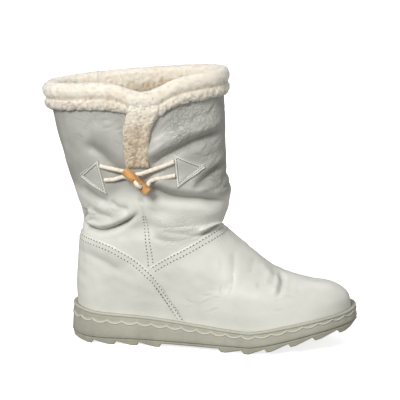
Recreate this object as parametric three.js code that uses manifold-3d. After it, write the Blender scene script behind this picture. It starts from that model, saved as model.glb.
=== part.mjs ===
// A right-foot winter ankle boot: slouched shaft, shearling cuff, side slit with a toggle, and a cup sole.
// Millimetres, +X to the toe, +Y to the inner side of the foot, +Z up.
// The origin is on the floor, at the middle of the last tread bar of the heel.

import * as THREE from "three";
import { mergeVertices } from "three/addons/utils/BufferGeometryUtils.js";
import Module from "manifold-3d";

const wasm = await Module();
wasm.setup();

// Driving sizes
const SOLE_LENGTH = 280;
const BALL_WIDTH = 102;
const HEEL_WIDTH = 71;
const SHAFT_LENGTH = 168; // fore and aft, at the collar
const SHAFT_WIDTH = 88; // side to side, at the collar
const COLLAR_HEIGHT = 262; // floor to the leather's front edge
const INSTEP_HEIGHT = 113; // floor to the front of the ankle
const WALL = 3; // leather with its backing
const CLEARANCE = 0.3; // between pieces that touch

// Sole sizes
const TREAD = 6.3; // outsole thickness, with its bars
const BAR_DEPTH = 3.6;
const BAR_PITCH = 22.6;
const BAR_LAND = 5; // flat stretch of each bar
const BAR_STEP = 2.5; // run of a bar's steep side
const HEEL_BARS = 4;
const FIRST_BAR = 0.086; // of the sole's length
const FIRST_FRONT_BAR = 0.547;
const TOE_MARGIN = 10; // no bar begins closer to the toe
const TOE_SPRING = 20;
const HEEL_WALL = 25; // height of the sole's side near the heel
const RIM_INSET = 2.4; // the side leans in by this
const CUP_DEPTH = 7;
const EDGE_INSET = 6.5; // the upper stands this far inside the sole's edge
const SWELL = 1.6; // the upper bulges over the rim by this
const SWELL_HEIGHT = 16;
const GROOVE = 1.2; // line between side and tread
const EDGE = 0.8; // bevel along the tread's lower edges
const BAND_STEP = 0.9; // scalloped band stands proud of the side
const BAND_DROP = 0.36; // of the side's height, from the rim to the scallops
const SCALLOP_DROP = 2.6;
const SCALLOP_POINTS = 3; // points along each scallop
const SCALLOP_WIDTH = 14.4;
const BEAD = 2.6; // height of the bead round the rim
const INSOLE_THICKNESS = 4;
const INSOLE_EDGE = 2; // bevel round the insole's top
const SOLE_EDGE_SHARE = 1.13; // half the way round the sole, as a share of its length

// Cuff, slit and fastening sizes
const FUR = 7.5; // thickness of the folded fur outside
const FUR_INSIDE = 6.5;
const FUR_TOP = 7.5; // fur above the leather's edge
const CUFF_DROP = 17; // leather's edge to the cuff's hem
const CUFF_SAG = 5; // how much lower the hem hangs at the slit
const ROLL_HEIGHT = 9; // lower roll of the cuff, under its groove
const LINING_DROP = 24; // leather's edge to the end of the fur inside
const LUMP = 0.8; // relief of the fur
const LUMP_RUN = 4;
const ROLL_THIN = 0.4; // how much thinner the lower roll is at the slit
const FUR_CORNER = 0.45; // how much thinner the facing is at its edges
const SLIT_WIDTH = 7;
const SLIT_POINT = 1; // its width at the lower end
const SLIT_X = 0.273; // of the sole's length
const SLIT_LEAN = 4;
const DIP = 12; // how far the collar sags at the slit
const DIP_X = 0.286; // of the sole's length
const DIP_WIDTH = 24;
const FACING_CREASE = 1.8;
const TAB_THICKNESS = 1.8;
const TAB_TIP = 0.05; // half width of a tab's blunt tip, as a share of its base
const CORD_RADIUS = 2;
const HOLE_PLAY = 0.5; // round the cord in the toggle
const TOGGLE_LENGTH = 31;
const TOGGLE_RADIUS = 4.4;
const TOGGLE_LIFT = 13.6; // from the leather to the toggle's middle
const TOGGLE_TURN = -0.735; // radians, nose down
const TOGGLE_X = 0.268; // of the sole's length
const TOGGLE_UP = 0.369; // of the shaft's height
const TOGGLE_HOLES = [0, 0.206]; // from the toggle's middle, as shares of its length
const TOGGLE_ROUND = 0.45; // of its radius, at the ends' corners
const COUNTER_STEP = 1.3; // the counter stands proud of the shaft
const VAMP_STEP = 0.7;
const OVER_CUP = 1; // the steps end this far above the cup's rim

// Plan of the sole: middle line and width, as shares of the local width
const PLAN = [
  { along: 0, middle: 0, width: 0.96 },
  { along: 0.14, middle: 0, width: 1 },
  { along: 0.3, middle: -0.01, width: 0.95 },
  { along: 0.45, middle: -0.028, width: 0.88 },
  { along: 0.6, middle: -0.015, width: 0.92 },
  { along: 0.7, middle: 0, width: 1 },
  { along: 0.8, middle: 0.025, width: 0.98 },
  { along: 0.9, middle: 0.055, width: 0.93 },
  { along: 1, middle: 0.08, width: 0.88 },
];
const WIDEN_FROM = 0.18; // of the length, where the heel's width starts to grow to the ball's
const WIDEN_TO = 0.66;
const HEEL_ROUND = 0.135; // of the length
const TOE_ROUND = 0.235;
const TOE_POWER = 2.25;

// Rise of the tread, as a share of the toe spring, and height of the side, as a share of the heel's
const SIDE = [
  { along: 0, spring: 0, wall: 1.16 },
  { along: 0.08, spring: 0, wall: 1.06 },
  { along: 0.15, spring: 0, wall: 1 },
  { along: 0.31, spring: 0, wall: 0.91 },
  { along: 0.46, spring: 0, wall: 0.76 },
  { along: 0.63, spring: 0, wall: 0.62 },
  { along: 0.7, spring: 0.15, wall: 0.61 },
  { along: 0.77, spring: 0.38, wall: 0.59 },
  { along: 0.84, spring: 0.62, wall: 0.55 },
  { along: 0.91, spring: 0.81, wall: 0.52 },
  { along: 1, spring: 1, wall: 0.5 },
];

// Back of the heel, from the sole to the ankle
const HEEL_BACK = [
  { up: 0, reach: 0, climb: 0 },
  { up: 0.3, reach: -0.055, climb: 0.29 },
  { up: 0.7, reach: 0.374, climb: 0.735 },
  { up: 1, reach: 1, climb: 1 },
];

// Middle line over the toe, vamp and instep:
// reach from the ankle out to the toe, climb from the sole to the ankle
const CROWN = [
  { up: 0, reach: 1, climb: 0 },
  { up: 0.03, reach: 1, climb: 0.085 },
  { up: 0.06, reach: 0.993, climb: 0.182 },
  { up: 0.12, reach: 0.964, climb: 0.263 },
  { up: 0.19, reach: 0.895, climb: 0.325 },
  { up: 0.28, reach: 0.796, climb: 0.361 },
  { up: 0.42, reach: 0.618, climb: 0.404 },
  { up: 0.55, reach: 0.459, climb: 0.479 },
  { up: 0.66, reach: 0.33, climb: 0.601 },
  { up: 0.8, reach: 0.184, climb: 0.773 },
  { up: 1, reach: 0, climb: 1 },
];

// Sections of the shaft from the ankle to the collar: ends as shares of the shaft's length
// from the back of the sole, heights as shares of the way up, half widths as shares of half the shaft's width
const SHAFT = [
  { up: 0, back: 0.06, front: 0.887, backUp: 0, frontUp: 0, outer: 0.9, inner: 0.87 },
  { up: 0.09, back: 0.073, front: 0.87, backUp: 0.087, frontUp: 0.061, outer: 0.88, inner: 0.85 },
  { up: 0.18, back: 0.072, front: 0.92, backUp: 0.18, frontUp: 0.149, outer: 0.97, inner: 0.93 },
  { up: 0.27, back: 0.048, front: 0.93, backUp: 0.273, frontUp: 0.239, outer: 1.02, inner: 0.97 },
  { up: 0.42, back: 0.002, front: 0.905, backUp: 0.432, frontUp: 0.388, outer: 1.03, inner: 1 },
  { up: 0.63, back: -0.052, front: 0.898, backUp: 0.652, frontUp: 0.595, outer: 1.03, inner: 1.02 },
  { up: 0.83, back: -0.095, front: 0.892, backUp: 0.858, frontUp: 0.815, outer: 1.01, inner: 1.01 },
  { up: 1, back: -0.117, front: 0.885, backUp: 1, frontUp: 1, outer: 1, inner: 1 },
];
const FOOT_FROM = 0.16; // of the sole's length, where sections start to follow the foot's middle line
const FOOT_TO = 0.43;
const ANKLE_BACK = 0.885; // of the instep's height
const COLLAR_BACK = 0.939; // of the collar's height
const SECTION_ROUND = 2.3; // power of the shaft's oval
const FOLD_FADE = 25; // the folds fade this close to the boot's middle plane

// Folds pressed into the shaft's sides: x as shares of the sole's length, heights as shares of the shaft's
const FOLDS = [
  { side: -1, fromX: 0.08, fromUp: 0.035, toX: 0.15, toUp: 0.04, depth: 3, width: 6 },
  { side: -1, fromX: 0.15, fromUp: 0.04, toX: 0.26, toUp: 0.15, depth: 2.6, width: 7 },
  { side: -1, fromX: 0.33, fromUp: 0.28, toX: 0.42, toUp: 0.25, depth: 3, width: 7 },
  { side: -1, fromX: 0.42, fromUp: 0.25, toX: 0.56, toUp: 0.22, depth: 2.6, width: 6 },
  { side: -1, fromX: 0.33, fromUp: 0.47, toX: 0.53, toUp: 0.68, depth: 2, width: 8 },
  { side: -1, fromX: 0.12, fromUp: 0.53, toX: 0.19, toUp: 0.45, depth: 1.6, width: 10 },
  { side: -1, fromX: 0.45, fromUp: -0.03, toX: 0.51, toUp: 0.04, depth: 2.4, width: 7 },
  { side: 1, fromX: 0.1, fromUp: 0.05, toX: 0.28, toUp: 0.14, depth: 2.8, width: 7 },
  { side: 1, fromX: 0.3, fromUp: 0.24, toX: 0.54, toUp: 0.2, depth: 2.6, width: 7 },
  { side: 1, fromX: 0.1, fromUp: 0.5, toX: 0.33, toUp: 0.34, depth: 1.8, width: 9 },
];

// Upper edge of the counter and lower edge of the shaft's front,
// as shares of the sole's length and the instep's height
const COUNTER_EDGE = [
  { along: -0.05, up: 0.99 },
  { along: 0.03, up: 0.95 },
  { along: 0.146, up: 0.9 },
  { along: 0.232, up: 0.8 },
  { along: 0.289, up: 0.69 },
  { along: 0.336, up: 0.58 },
  { along: 0.375, up: 0.45 },
  { along: 0.404, up: 0.33 },
  { along: 0.436, up: 0.16 },
];
const VAMP_EDGE = [
  { along: 0.289, up: 0.69 },
  { along: 0.35, up: 0.79 },
  { along: 0.421, up: 0.88 },
  { along: 0.489, up: 0.955 },
  { along: 0.56, up: 0.985 },
];

// The fur facing down the slit: edges as shares of the shaft's height and the sole's length, and thickness
const FACING = [
  { up: 0.433, rear: 0.227, front: 0.302, fur: 3 },
  { up: 0.47, rear: 0.223, front: 0.3035, fur: 5 },
  { up: 0.52, rear: 0.2195, front: 0.305, fur: 5 },
  { up: 0.604, rear: 0.2155, front: 0.3047, fur: 5 },
  { up: 0.678, rear: 0.217, front: 0.311, fur: 5.6 },
  { up: 0.725, rear: 0.2225, front: 0.321, fur: 7 },
  { up: 0.8, rear: 0.23, front: 0.34, fur: 9 },
  { up: 0.86, rear: 0.235, front: 0.35, fur: 9.6 },
];

// Corners of the sewn tabs, measured from the toggle, in toggle lengths
const TAB_FRONT = { top: [1.065, 0.742], foot: [1.161, -0.258], tip: [1.903, 0.355] };
const TAB_REAR = { top: [-1.274, 0.5], foot: [-0.984, -0.548], tip: [-1.839, -0.032] };

// Cord routes. Over the leather: [x, z] from the toggle, in toggle lengths, and the lift in cord radii.
// Round the toggle: how far along it, in its lengths, the turn about it, and how far from its middle line,
// in cord radii.
const REAR_CORD = [
  [-1.187, 0.348, 1.2],
  [-0.935, 0.297, 1.2],
  [-0.645, 0.252, 1.2],
  [-0.4, 0.2, 1.2],
  [-0.226, 0.116, 1.2],
  [-0.116, 0.055, 1.4],
  { along: TOGGLE_HOLES[0], turn: Math.PI, from: 3.8 },
  { along: TOGGLE_HOLES[0], turn: Math.PI, from: 1.5 },
  { along: TOGGLE_HOLES[0], turn: 0, from: 1.5 },
  { along: TOGGLE_HOLES[0] + 0.013, turn: 0, from: 2.8 },
  { along: (TOGGLE_HOLES[0] + TOGGLE_HOLES[1]) / 2, turn: 0, from: 3.65 },
  { along: TOGGLE_HOLES[1] - 0.013, turn: 0, from: 2.8 },
  { along: TOGGLE_HOLES[1], turn: 0, from: 1.5 },
  { along: TOGGLE_HOLES[1], turn: Math.PI, from: 1.5 },
  { along: TOGGLE_HOLES[1], turn: Math.PI, from: 3.8 },
  [0.065, -0.165, 1.5],
  [-0.065, -0.139, 1.2],
  [-0.226, -0.045, 1.2],
  [-0.4, 0.045, 1.2],
  [-0.58, 0.006, 1.2],
  [-0.774, -0.055, 1.2],
  [-1.052, -0.09, 1.2],
];
const FRONT_CORD = [
  [1.065, 0.535, 1.2],
  [0.71, 0.39, 1.5],
  [0.452, 0.3, 2.2],
  [0.258, 0.239, 3],
  [0.09, 0.181, 3.4],
  [-0.058, 0.148, 3.45],
  [-0.148, 0.052, 3.45],
  [-0.142, -0.058, 3.45],
  [-0.052, -0.168, 3.45],
  [0.071, -0.265, 3.45],
  [0.206, -0.277, 3.4],
  [0.297, -0.181, 3.2],
  [0.348, -0.071, 2.7],
  [0.484, -0.003, 1.9],
  [0.71, 0.035, 1.4],
  [1.103, 0.11, 1.2],
];

// How finely the pieces are faceted
const SOLE_SIDE_POINTS = Math.round((SOLE_LENGTH * SOLE_EDGE_SHARE) / SCALLOP_WIDTH) * SCALLOP_POINTS;
const UPPER_SIDE_POINTS = 23;
const FOOT_ROWS = [0, 0.035, 0.075, 0.12, 0.18, 0.26, 0.36, 0.47, 0.58, 0.7, 0.82, 0.92];
const SHAFT_ROWS = [0, 0.07, 0.14, 0.21, 0.28, 0.35, 0.42, 0.5, 0.57, 0.64, 0.71, 0.79, 0.86, 0.93, 1];
const LINING_SIDE_POINTS = 17;
const LINING_FOOT_ROWS = [0, 0.06, 0.13, 0.22, 0.36, 0.54, 0.72, 0.88];
const LINING_SHAFT_ROWS = [0, 0.07, 0.14, 0.21, 0.28, 0.42, 0.57, 0.71, 0.86, 1];
const CUFF_SIDE_POINTS = 27;
const FACING_ROWS = 10;
const FACING_COLUMNS = 6;
const TAB_ROWS = 5;
const TAB_COLUMNS = 4;
const CORD_SIDES = 8;
const CORD_STEPS = 3; // between two points of a route
const TOGGLE_SIDES = 16;
const CUTTER_PLACES = 20;
const TREAD_PLACES = 24;
const CLOSEST = 1.5; // between two places along the tread
const MEASURING_STEPS = 2000;
const HALVINGS = 26;
const NORMAL_STEP = 0.02;
const BEYOND = 20; // cutting forms run past what they cut by this
const FAR = 2 * COLLAR_HEIGHT;

const mix = (a, b, t) => a + (b - a) * t;
const clamp = (x) => Math.min(1, Math.max(0, x));
const smooth = (from, to, x) => {
  const t = clamp((x - from) / (to - from));
  return t * t * (3 - 2 * t);
};
const hump = (x, middle, width) => Math.exp(-(((x - middle) / width) ** 2));

// Where a rising function reaches a value.
function solve(from, to, value, rising) {
  let [low, high] = [from, to];
  for (let n = 0; n < HALVINGS; n++) {
    const middle = (low + high) / 2;
    if (rising(middle) < value) low = middle;
    else high = middle;
  }
  return (low + high) / 2;
}

// A table's column at a place, through every row and with no overshoot.
function follow(rows, key, column, at) {
  const last = rows.length - 1;
  const place = Math.min(rows[last][key], Math.max(rows[0][key], at));
  let k = 0;
  while (k < last - 1 && rows[k + 1][key] <= place) k++;
  const slope = (i) => (rows[i + 1][column] - rows[i][column]) / (rows[i + 1][key] - rows[i][key]);
  const tangent = (i) => {
    if (i === 0) return slope(0);
    if (i === last) return slope(last - 1);
    const [a, b] = [slope(i - 1), slope(i)];
    return a * b <= 0 ? 0 : (2 * a * b) / (a + b);
  };
  const width = rows[k + 1][key] - rows[k][key];
  const rise = rows[k + 1][column] - rows[k][column];
  const t = (place - rows[k][key]) / width;
  const bend = width * t * (1 - t) * (tangent(k) * (1 - t) - tangent(k + 1) * t);
  return rows[k][column] + rise * t * t * (3 - 2 * t) + bend;
}

// Heights along the sole
const springAt = (x) => TOE_SPRING * follow(SIDE, "along", "spring", x / SOLE_LENGTH);
const grooveAt = (x) => TREAD + springAt(x);
const wallAt = (x) => HEEL_WALL * follow(SIDE, "along", "wall", x / SOLE_LENGTH);
const rimAt = (x) => grooveAt(x) + wallAt(x);
const platformAt = (x) => rimAt(x) - CUP_DEPTH;
const featherAt = (x) => platformAt(x) + CLEARANCE;

// Middle line and half width of the sole's outline, drawn in by an inset.
function planAt(x, inset) {
  const along = x / SOLE_LENGTH;
  const local = mix(HEEL_WIDTH, BALL_WIDTH, smooth(WIDEN_FROM, WIDEN_TO, along));
  const full = (local * follow(PLAN, "along", "width", along)) / 2 - inset;
  const intoHeel = clamp(1 - (x - inset) / (SOLE_LENGTH * HEEL_ROUND - inset));
  const intoToe = clamp(1 - (SOLE_LENGTH - inset - x) / (SOLE_LENGTH * TOE_ROUND - inset));
  const round = Math.sqrt(1 - intoHeel ** 2) * (1 - intoToe ** TOE_POWER) ** (1 / TOE_POWER);
  return { middle: local * follow(PLAN, "along", "middle", along), half: full * round };
}

// A ring runs along the outer side from back to front, then back along the inner side.
const ringOf = (outerSide, innerSide) => [...outerSide, ...innerSide.slice(1, -1).reverse()];

// The sole's outline at an inset, at places given as shares of its own length.
function soleRing(places, inset, heightAt) {
  const side = (sign) =>
    places.map((share, i) => {
      const x = mix(inset, SOLE_LENGTH - inset, share);
      const { middle, half } = planAt(x, inset);
      return new THREE.Vector3(x, middle + sign * half, heightAt(x, i));
    });
  return ringOf(side(-1), side(1));
}

const roundShare = (t) => (1 - Math.cos(Math.PI * t)) / 2;
const roundPlaces = (count) => Array.from({ length: count + 1 }, (_, i) => roundShare(i / count));

// Places along the sole that lie equally far apart along its edge.
function evenPlaces(count) {
  const shares = roundPlaces(MEASURING_STEPS);
  const lengths = [0];
  for (let i = 1; i < shares.length; i++) {
    const [a, b] = [shares[i - 1] * SOLE_LENGTH, shares[i] * SOLE_LENGTH];
    lengths.push(lengths[i - 1] + Math.hypot(b - a, planAt(b, 0).half - planAt(a, 0).half));
  }
  const total = lengths.at(-1);
  return Array.from({ length: count + 1 }, (_, i) => {
    const wanted = (total * i) / count;
    const k = Math.max(1, lengths.findIndex((length) => length >= wanted - 1e-6));
    return mix(shares[k - 1], shares[k], (wanted - lengths[k - 1]) / (lengths[k] - lengths[k - 1]));
  });
}

// Solids from points, turned to face outwards.
function solidOf(points, triangles) {
  const vertProperties = new Float32Array(points.flatMap((p) => [p.x, p.y, p.z]));
  const triVerts = new Uint32Array(triangles.flat());
  const made = new wasm.Manifold(new wasm.Mesh({ numProp: 3, vertProperties, triVerts }));
  if (made.volume() > 0) return made;
  return solidOf(points, triangles.map(([a, b, c]) => [a, c, b]));
}

// Rings stacked upwards, closed at both ends by strips from side to side.
function stack(rings) {
  const around = rings[0].length;
  const half = around / 2;
  const triangles = [];
  for (let j = 0; j + 1 < rings.length; j++) {
    for (let k = 0; k < around; k++) {
      const [a, b] = [j * around + k, j * around + ((k + 1) % around)];
      triangles.push([a, b, b + around], [a, b + around, a + around]);
    }
  }
  const across = (k) => (around - k) % around;
  const top = (rings.length - 1) * around;
  for (let k = 0; k < half; k++) {
    if (k > 0) {
      triangles.push([across(k), k + 1, k], [top + k, top + k + 1, top + across(k)]);
    }
    if (k + 1 < half) {
      triangles.push([across(k), across(k + 1), k + 1]);
      triangles.push([top + across(k), top + k + 1, top + across(k + 1)]);
    }
  }
  return solidOf(rings.flat(), triangles);
}

// Closed sections joined in a closed chain.
function chain(sections) {
  const count = sections.length;
  const around = sections[0].length;
  const triangles = [];
  for (let i = 0; i < count; i++) {
    for (let k = 0; k < around; k++) {
      const [a, b] = [i * around + k, i * around + ((k + 1) % around)];
      const next = ((i + 1) % count) * around;
      const [c, d] = [next + ((k + 1) % around), next + k];
      triangles.push([a, b, c], [a, c, d]);
    }
  }
  return solidOf(sections.flat(), triangles);
}

// A plate between an upper and a lower grid of points.
function plate(lower, upper) {
  const rows = lower.length;
  const columns = lower[0].length;
  const size = rows * columns;
  const triangles = [];
  const at = (i, j) => i * columns + j;
  for (let i = 0; i + 1 < rows; i++) {
    for (let j = 0; j + 1 < columns; j++) {
      const [a, b, c, d] = [at(i, j), at(i, j + 1), at(i + 1, j + 1), at(i + 1, j)];
      triangles.push([a, c, b], [a, d, c], [size + a, size + b, size + c], [size + a, size + c, size + d]);
    }
  }
  const edge = [
    ...Array.from({ length: columns - 1 }, (_, j) => at(0, j)),
    ...Array.from({ length: rows - 1 }, (_, i) => at(i, columns - 1)),
    ...Array.from({ length: columns - 1 }, (_, j) => at(rows - 1, columns - 1 - j)),
    ...Array.from({ length: rows - 1 }, (_, i) => at(rows - 1 - i, 0)),
  ];
  edge.forEach((a, n) => {
    const b = edge[(n + 1) % edge.length];
    triangles.push([a, b, size + b], [a, size + b, size + a]);
  });
  return solidOf([...lower.flat(), ...upper.flat()], triangles);
}

function solidOfGeometry(geometry) {
  geometry.deleteAttribute("normal");
  geometry.deleteAttribute("uv");
  const merged = mergeVertices(geometry, 1e-4);
  const vertProperties = merged.attributes.position.array;
  const triVerts = new Uint32Array(merged.index.array);
  return new wasm.Manifold(new wasm.Mesh({ numProp: 3, vertProperties, triVerts }));
}

function geometryOf(solid) {
  const { vertProperties, triVerts, numProp } = solid.getMesh();
  const positions = new Float32Array((vertProperties.length / numProp) * 3);
  for (let i = 0; 3 * i < positions.length; i++) {
    positions.set(vertProperties.subarray(i * numProp, i * numProp + 3), i * 3);
  }
  const geometry = new THREE.BufferGeometry();
  geometry.setAttribute("position", new THREE.BufferAttribute(positions, 3));
  geometry.setIndex(new THREE.BufferAttribute(triVerts, 1));
  geometry.computeVertexNormals();
  return geometry;
}

// Shape of the upper. An angle of 0 is the back and half a turn the front, by the outer side if positive.
const heightOnShaft = (share) => mix(INSTEP_HEIGHT, COLLAR_HEIGHT, share);
const ovalAt = (share) => (1 - Math.abs(2 * share - 1) ** SECTION_ROUND) ** (1 / SECTION_ROUND);

function shaftEnds(up) {
  const at = (column) => follow(SHAFT, "up", column, up);
  return {
    back: {
      x: SHAFT_LENGTH * at("back"),
      z: mix(INSTEP_HEIGHT * ANKLE_BACK, COLLAR_HEIGHT * COLLAR_BACK, at("backUp")),
    },
    front: { x: SHAFT_LENGTH * at("front"), z: mix(INSTEP_HEIGHT, COLLAR_HEIGHT, at("frontUp")) },
  };
}

const halfShaft = (side, up) => (SHAFT_WIDTH / 2) * follow(SHAFT, "up", side < 0 ? "outer" : "inner", up);

// A point of the shaft's outer face, from the ankle at 0 to the collar at 1.
function shaftPoint(angle, up) {
  const side = Math.sin(angle) > 0 ? -1 : 1;
  const share = roundShare(angle / Math.PI);
  const { back, front } = shaftEnds(up);
  const x = mix(back.x, front.x, share);
  const sag = side < 0 ? DIP * hump(x, DIP_X * SOLE_LENGTH, DIP_WIDTH) * smooth(0.7, 1, up) : 0;
  return new THREE.Vector3(x, side * halfShaft(side, up) * ovalAt(share), mix(back.z, front.z, share) - sag);
}

// The middle line of the foot, from the sole at the toe at 0 to the ankle at 1.
const ankle = shaftEnds(0);
const toeEnd = SOLE_LENGTH - EDGE_INSET;
const crownX = (up) => mix(ankle.front.x, toeEnd, follow(CROWN, "up", "reach", up));
const crownZ = (up) => mix(featherAt(toeEnd), ankle.front.z, follow(CROWN, "up", "climb", up));
const ankleSlope = (ankle.front.z - ankle.back.z) / (ankle.front.x - ankle.back.x);
const ankleLine = (x) => ankle.front.z + ankleSlope * (x - ankle.front.x);
const depthUnder = (up) => ankleLine(crownX(up)) - crownZ(up);

// Top of the foot over a place on the sole: the middle line in front, the ankle's plane behind.
function topOver(x) {
  if (x <= ankle.front.x) return ankleLine(x);
  return crownZ(solve(0, 1, -x, (up) => -crownX(up)));
}

// Side view of the foot: a patch between the sole, the ankle, the heel's back and the middle line.
function footSide(share, up) {
  const lowX = mix(EDGE_INSET, toeEnd, share);
  const corner = { heel: featherAt(EDGE_INSET), toe: featherAt(toeEnd) };
  const heelReach = follow(HEEL_BACK, "up", "reach", up);
  const heelClimb = follow(HEEL_BACK, "up", "climb", up);
  const x = mix(
    mix(EDGE_INSET, ankle.back.x, heelReach) - mix(EDGE_INSET, ankle.back.x, up),
    crownX(up) - mix(toeEnd, ankle.front.x, up),
    share,
  );
  const z = mix(
    mix(corner.heel, ankle.back.z, heelClimb) - mix(corner.heel, ankle.back.z, up),
    crownZ(up) - mix(corner.toe, ankle.front.z, up),
    share,
  );
  return {
    lowX,
    x: x + mix(lowX, mix(ankle.back.x, ankle.front.x, share), up),
    z: z + mix(featherAt(lowX), mix(ankle.back.z, ankle.front.z, share), up),
  };
}

// A point of the foot's outer face, from the sole at 0 to the ankle at 1.
function footPoint(angle, up) {
  const side = Math.sin(angle) > 0 ? -1 : 1;
  const share = roundShare(angle / Math.PI);
  const { x, z, lowX } = footSide(share, up);
  const forward = smooth(FOOT_FROM * SOLE_LENGTH, FOOT_TO * SOLE_LENGTH, x);
  const floor = featherAt(Math.min(x, toeEnd));
  const climb = clamp(mix(up, (z - floor) / Math.max(1, topOver(x) - floor), forward));
  const under = planAt(lowX, EDGE_INSET);
  const here = planAt(Math.min(x, toeEnd), EDGE_INSET);
  const reach = crownX(solve(0, 1, -(ankleLine(x) - z), (crown) => -depthUnder(crown)));
  const place = mix(share, clamp((x - ankle.back.x) / (reach - ankle.back.x)), forward);
  const soft = smooth(0, 1, climb);
  const base = mix(under.half, here.half, forward);
  const middle = mix(under.middle, here.middle, forward) * (1 - soft);
  const overRim = smooth(CUP_DEPTH, CUP_DEPTH + SWELL_HEIGHT, z - floor);
  const swell = SWELL * overRim * (1 - climb) * clamp(base / SWELL_HEIGHT);
  const half = mix(base, halfShaft(side, 0) * ovalAt(place), soft) + swell;
  return new THREE.Vector3(x, middle + side * half, z);
}

// How deep the folds press a side in at a place in the side view.
function pressAt(side, x, z) {
  return FOLDS.filter((fold) => fold.side === side).reduce((deepest, fold) => {
    const from = new THREE.Vector2(fold.fromX * SOLE_LENGTH, heightOnShaft(fold.fromUp));
    const run = new THREE.Vector2(fold.toX * SOLE_LENGTH, heightOnShaft(fold.toUp)).sub(from);
    const place = new THREE.Vector2(x, z).sub(from);
    const share = clamp(place.dot(run) / run.lengthSq());
    return Math.max(deepest, fold.depth * hump(place.distanceTo(run.multiplyScalar(share)), 0, fold.width));
  }, 0);
}

// A point of the upper's outer face: 0 to 1 is the foot, 1 to 2 the shaft.
function upperPoint(angle, up) {
  const point = up <= 1 ? footPoint(angle, Math.max(0, up)) : shaftPoint(angle, Math.min(1, up - 1));
  const side = Math.sign(point.y);
  point.y -= side * pressAt(side, point.x, point.z) * clamp(Math.abs(point.y) / FOLD_FADE);
  return point;
}

function upperNormal(angle, up) {
  const across = upperPoint(angle + NORMAL_STEP, up).sub(upperPoint(angle - NORMAL_STEP, up));
  const above = upperPoint(angle, Math.min(2, up + NORMAL_STEP));
  const along = above.sub(upperPoint(angle, Math.max(0, up - NORMAL_STEP)));
  return across.cross(along).normalize();
}

function upperRing(points, up, lift, rise = 0) {
  const side = (sign) =>
    Array.from({ length: points + 1 }, (_, i) => {
      const angle = (sign * Math.PI * i) / points;
      const out = upperNormal(angle, up).multiplyScalar(lift);
      return upperPoint(angle, up).add(out).add(new THREE.Vector3(0, 0, rise));
    });
  return ringOf(side(1), side(-1));
}

// The solid inside a face that lies a given lift off the upper's outer face.
function upperForm(points, footRows, shaftRows, lift, below, above) {
  const rows = [...footRows, ...shaftRows.map((up) => 1 + up)];
  const rings = rows.map((up) => upperRing(points, up, lift));
  if (below > 0) rings.unshift(upperRing(points, 0, lift, -below));
  if (above > 0) rings.push(upperRing(points, 2, lift, above));
  return stack(rings);
}

const outerForm = (lift, above = 0) => upperForm(UPPER_SIDE_POINTS, FOOT_ROWS, SHAFT_ROWS, lift, 0, above);
const innerForm = (lift) =>
  upperForm(LINING_SIDE_POINTS, LINING_FOOT_ROWS, LINING_SHAFT_ROWS, lift, BEYOND, BEYOND);

// A prism through one or both sides of the boot, from its outline in the side view.
function sidePrism(outline, depth = 2 * FAR) {
  const shape = new THREE.Shape(outline.map(([x, z]) => new THREE.Vector2(x, z)));
  const geometry = new THREE.ExtrudeGeometry(shape, { depth, bevelEnabled: false });
  geometry.rotateX(Math.PI / 2).translate(0, depth - FAR, 0);
  return solidOfGeometry(geometry);
}

// One hollow solid, with the counter and the vamp as steps of its wall, and the slit cut at the collar.
function makeUpper() {
  const seam = (rows) => rows.map(({ along, up }) => [along * SOLE_LENGTH, up * INSTEP_HEIGHT]);
  const counterSeam = seam(COUNTER_EDGE);
  const vampSeam = seam(VAMP_EDGE);
  const counter = sidePrism([
    ...counterSeam,
    [counterSeam.at(-1)[0], -FAR],
    [-FAR, -FAR],
    [-FAR, counterSeam[0][1]],
  ]);
  const vamp = sidePrism([
    ...vampSeam,
    [FAR, vampSeam.at(-1)[1]],
    [FAR, -FAR],
    [vampSeam[0][0], -FAR],
  ]);
  const cupTop = (x) => rimAt(x) + OVER_CUP;
  const around = roundPlaces(CUTTER_PLACES);
  const overSole = stack([soleRing(around, -BEYOND, cupTop), soleRing(around, -BEYOND, () => FAR)]);
  const raised = (lift, region) => outerForm(lift).intersect(region).intersect(overSole);
  const slitX = SLIT_X * SOLE_LENGTH;
  const slitEnd = heightOnShaft(FACING[0].up) + SLIT_POINT;
  const slit = sidePrism(
    [
      [slitX - SLIT_LEAN - SLIT_POINT / 2, slitEnd],
      [slitX - SLIT_LEAN + SLIT_POINT / 2, slitEnd],
      [slitX + SLIT_WIDTH / 2, COLLAR_HEIGHT + BEYOND],
      [slitX - SLIT_WIDTH / 2, COLLAR_HEIGHT + BEYOND],
    ],
    FAR,
  );
  return outerForm(0)
    .add(raised(VAMP_STEP, vamp))
    .add(raised(COUNTER_STEP, counter))
    .subtract(innerForm(-WALL))
    .subtract(slit);
}

// Angle and height on the shaft of a place in the side view, on the outer side.
function onShaft(x, z) {
  const angleAt = (up) => {
    const { back, front } = shaftEnds(up);
    return Math.acos(1 - 2 * clamp((x - back.x) / (front.x - back.x)));
  };
  const up = solve(0, 1, z, (place) => shaftPoint(angleAt(place), place).z);
  return { angle: angleAt(up), up: 1 + up };
}

function sidePoint(x, z, lift) {
  const { angle, up } = onShaft(x, z);
  return upperPoint(angle, up).add(upperNormal(angle, up).multiplyScalar(lift));
}

function lumpAt({ x, y, z }) {
  return LUMP * Math.sin((x + y / 2) / LUMP_RUN) * Math.sin((z + (x - y) / 2) / LUMP_RUN);
}

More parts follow.
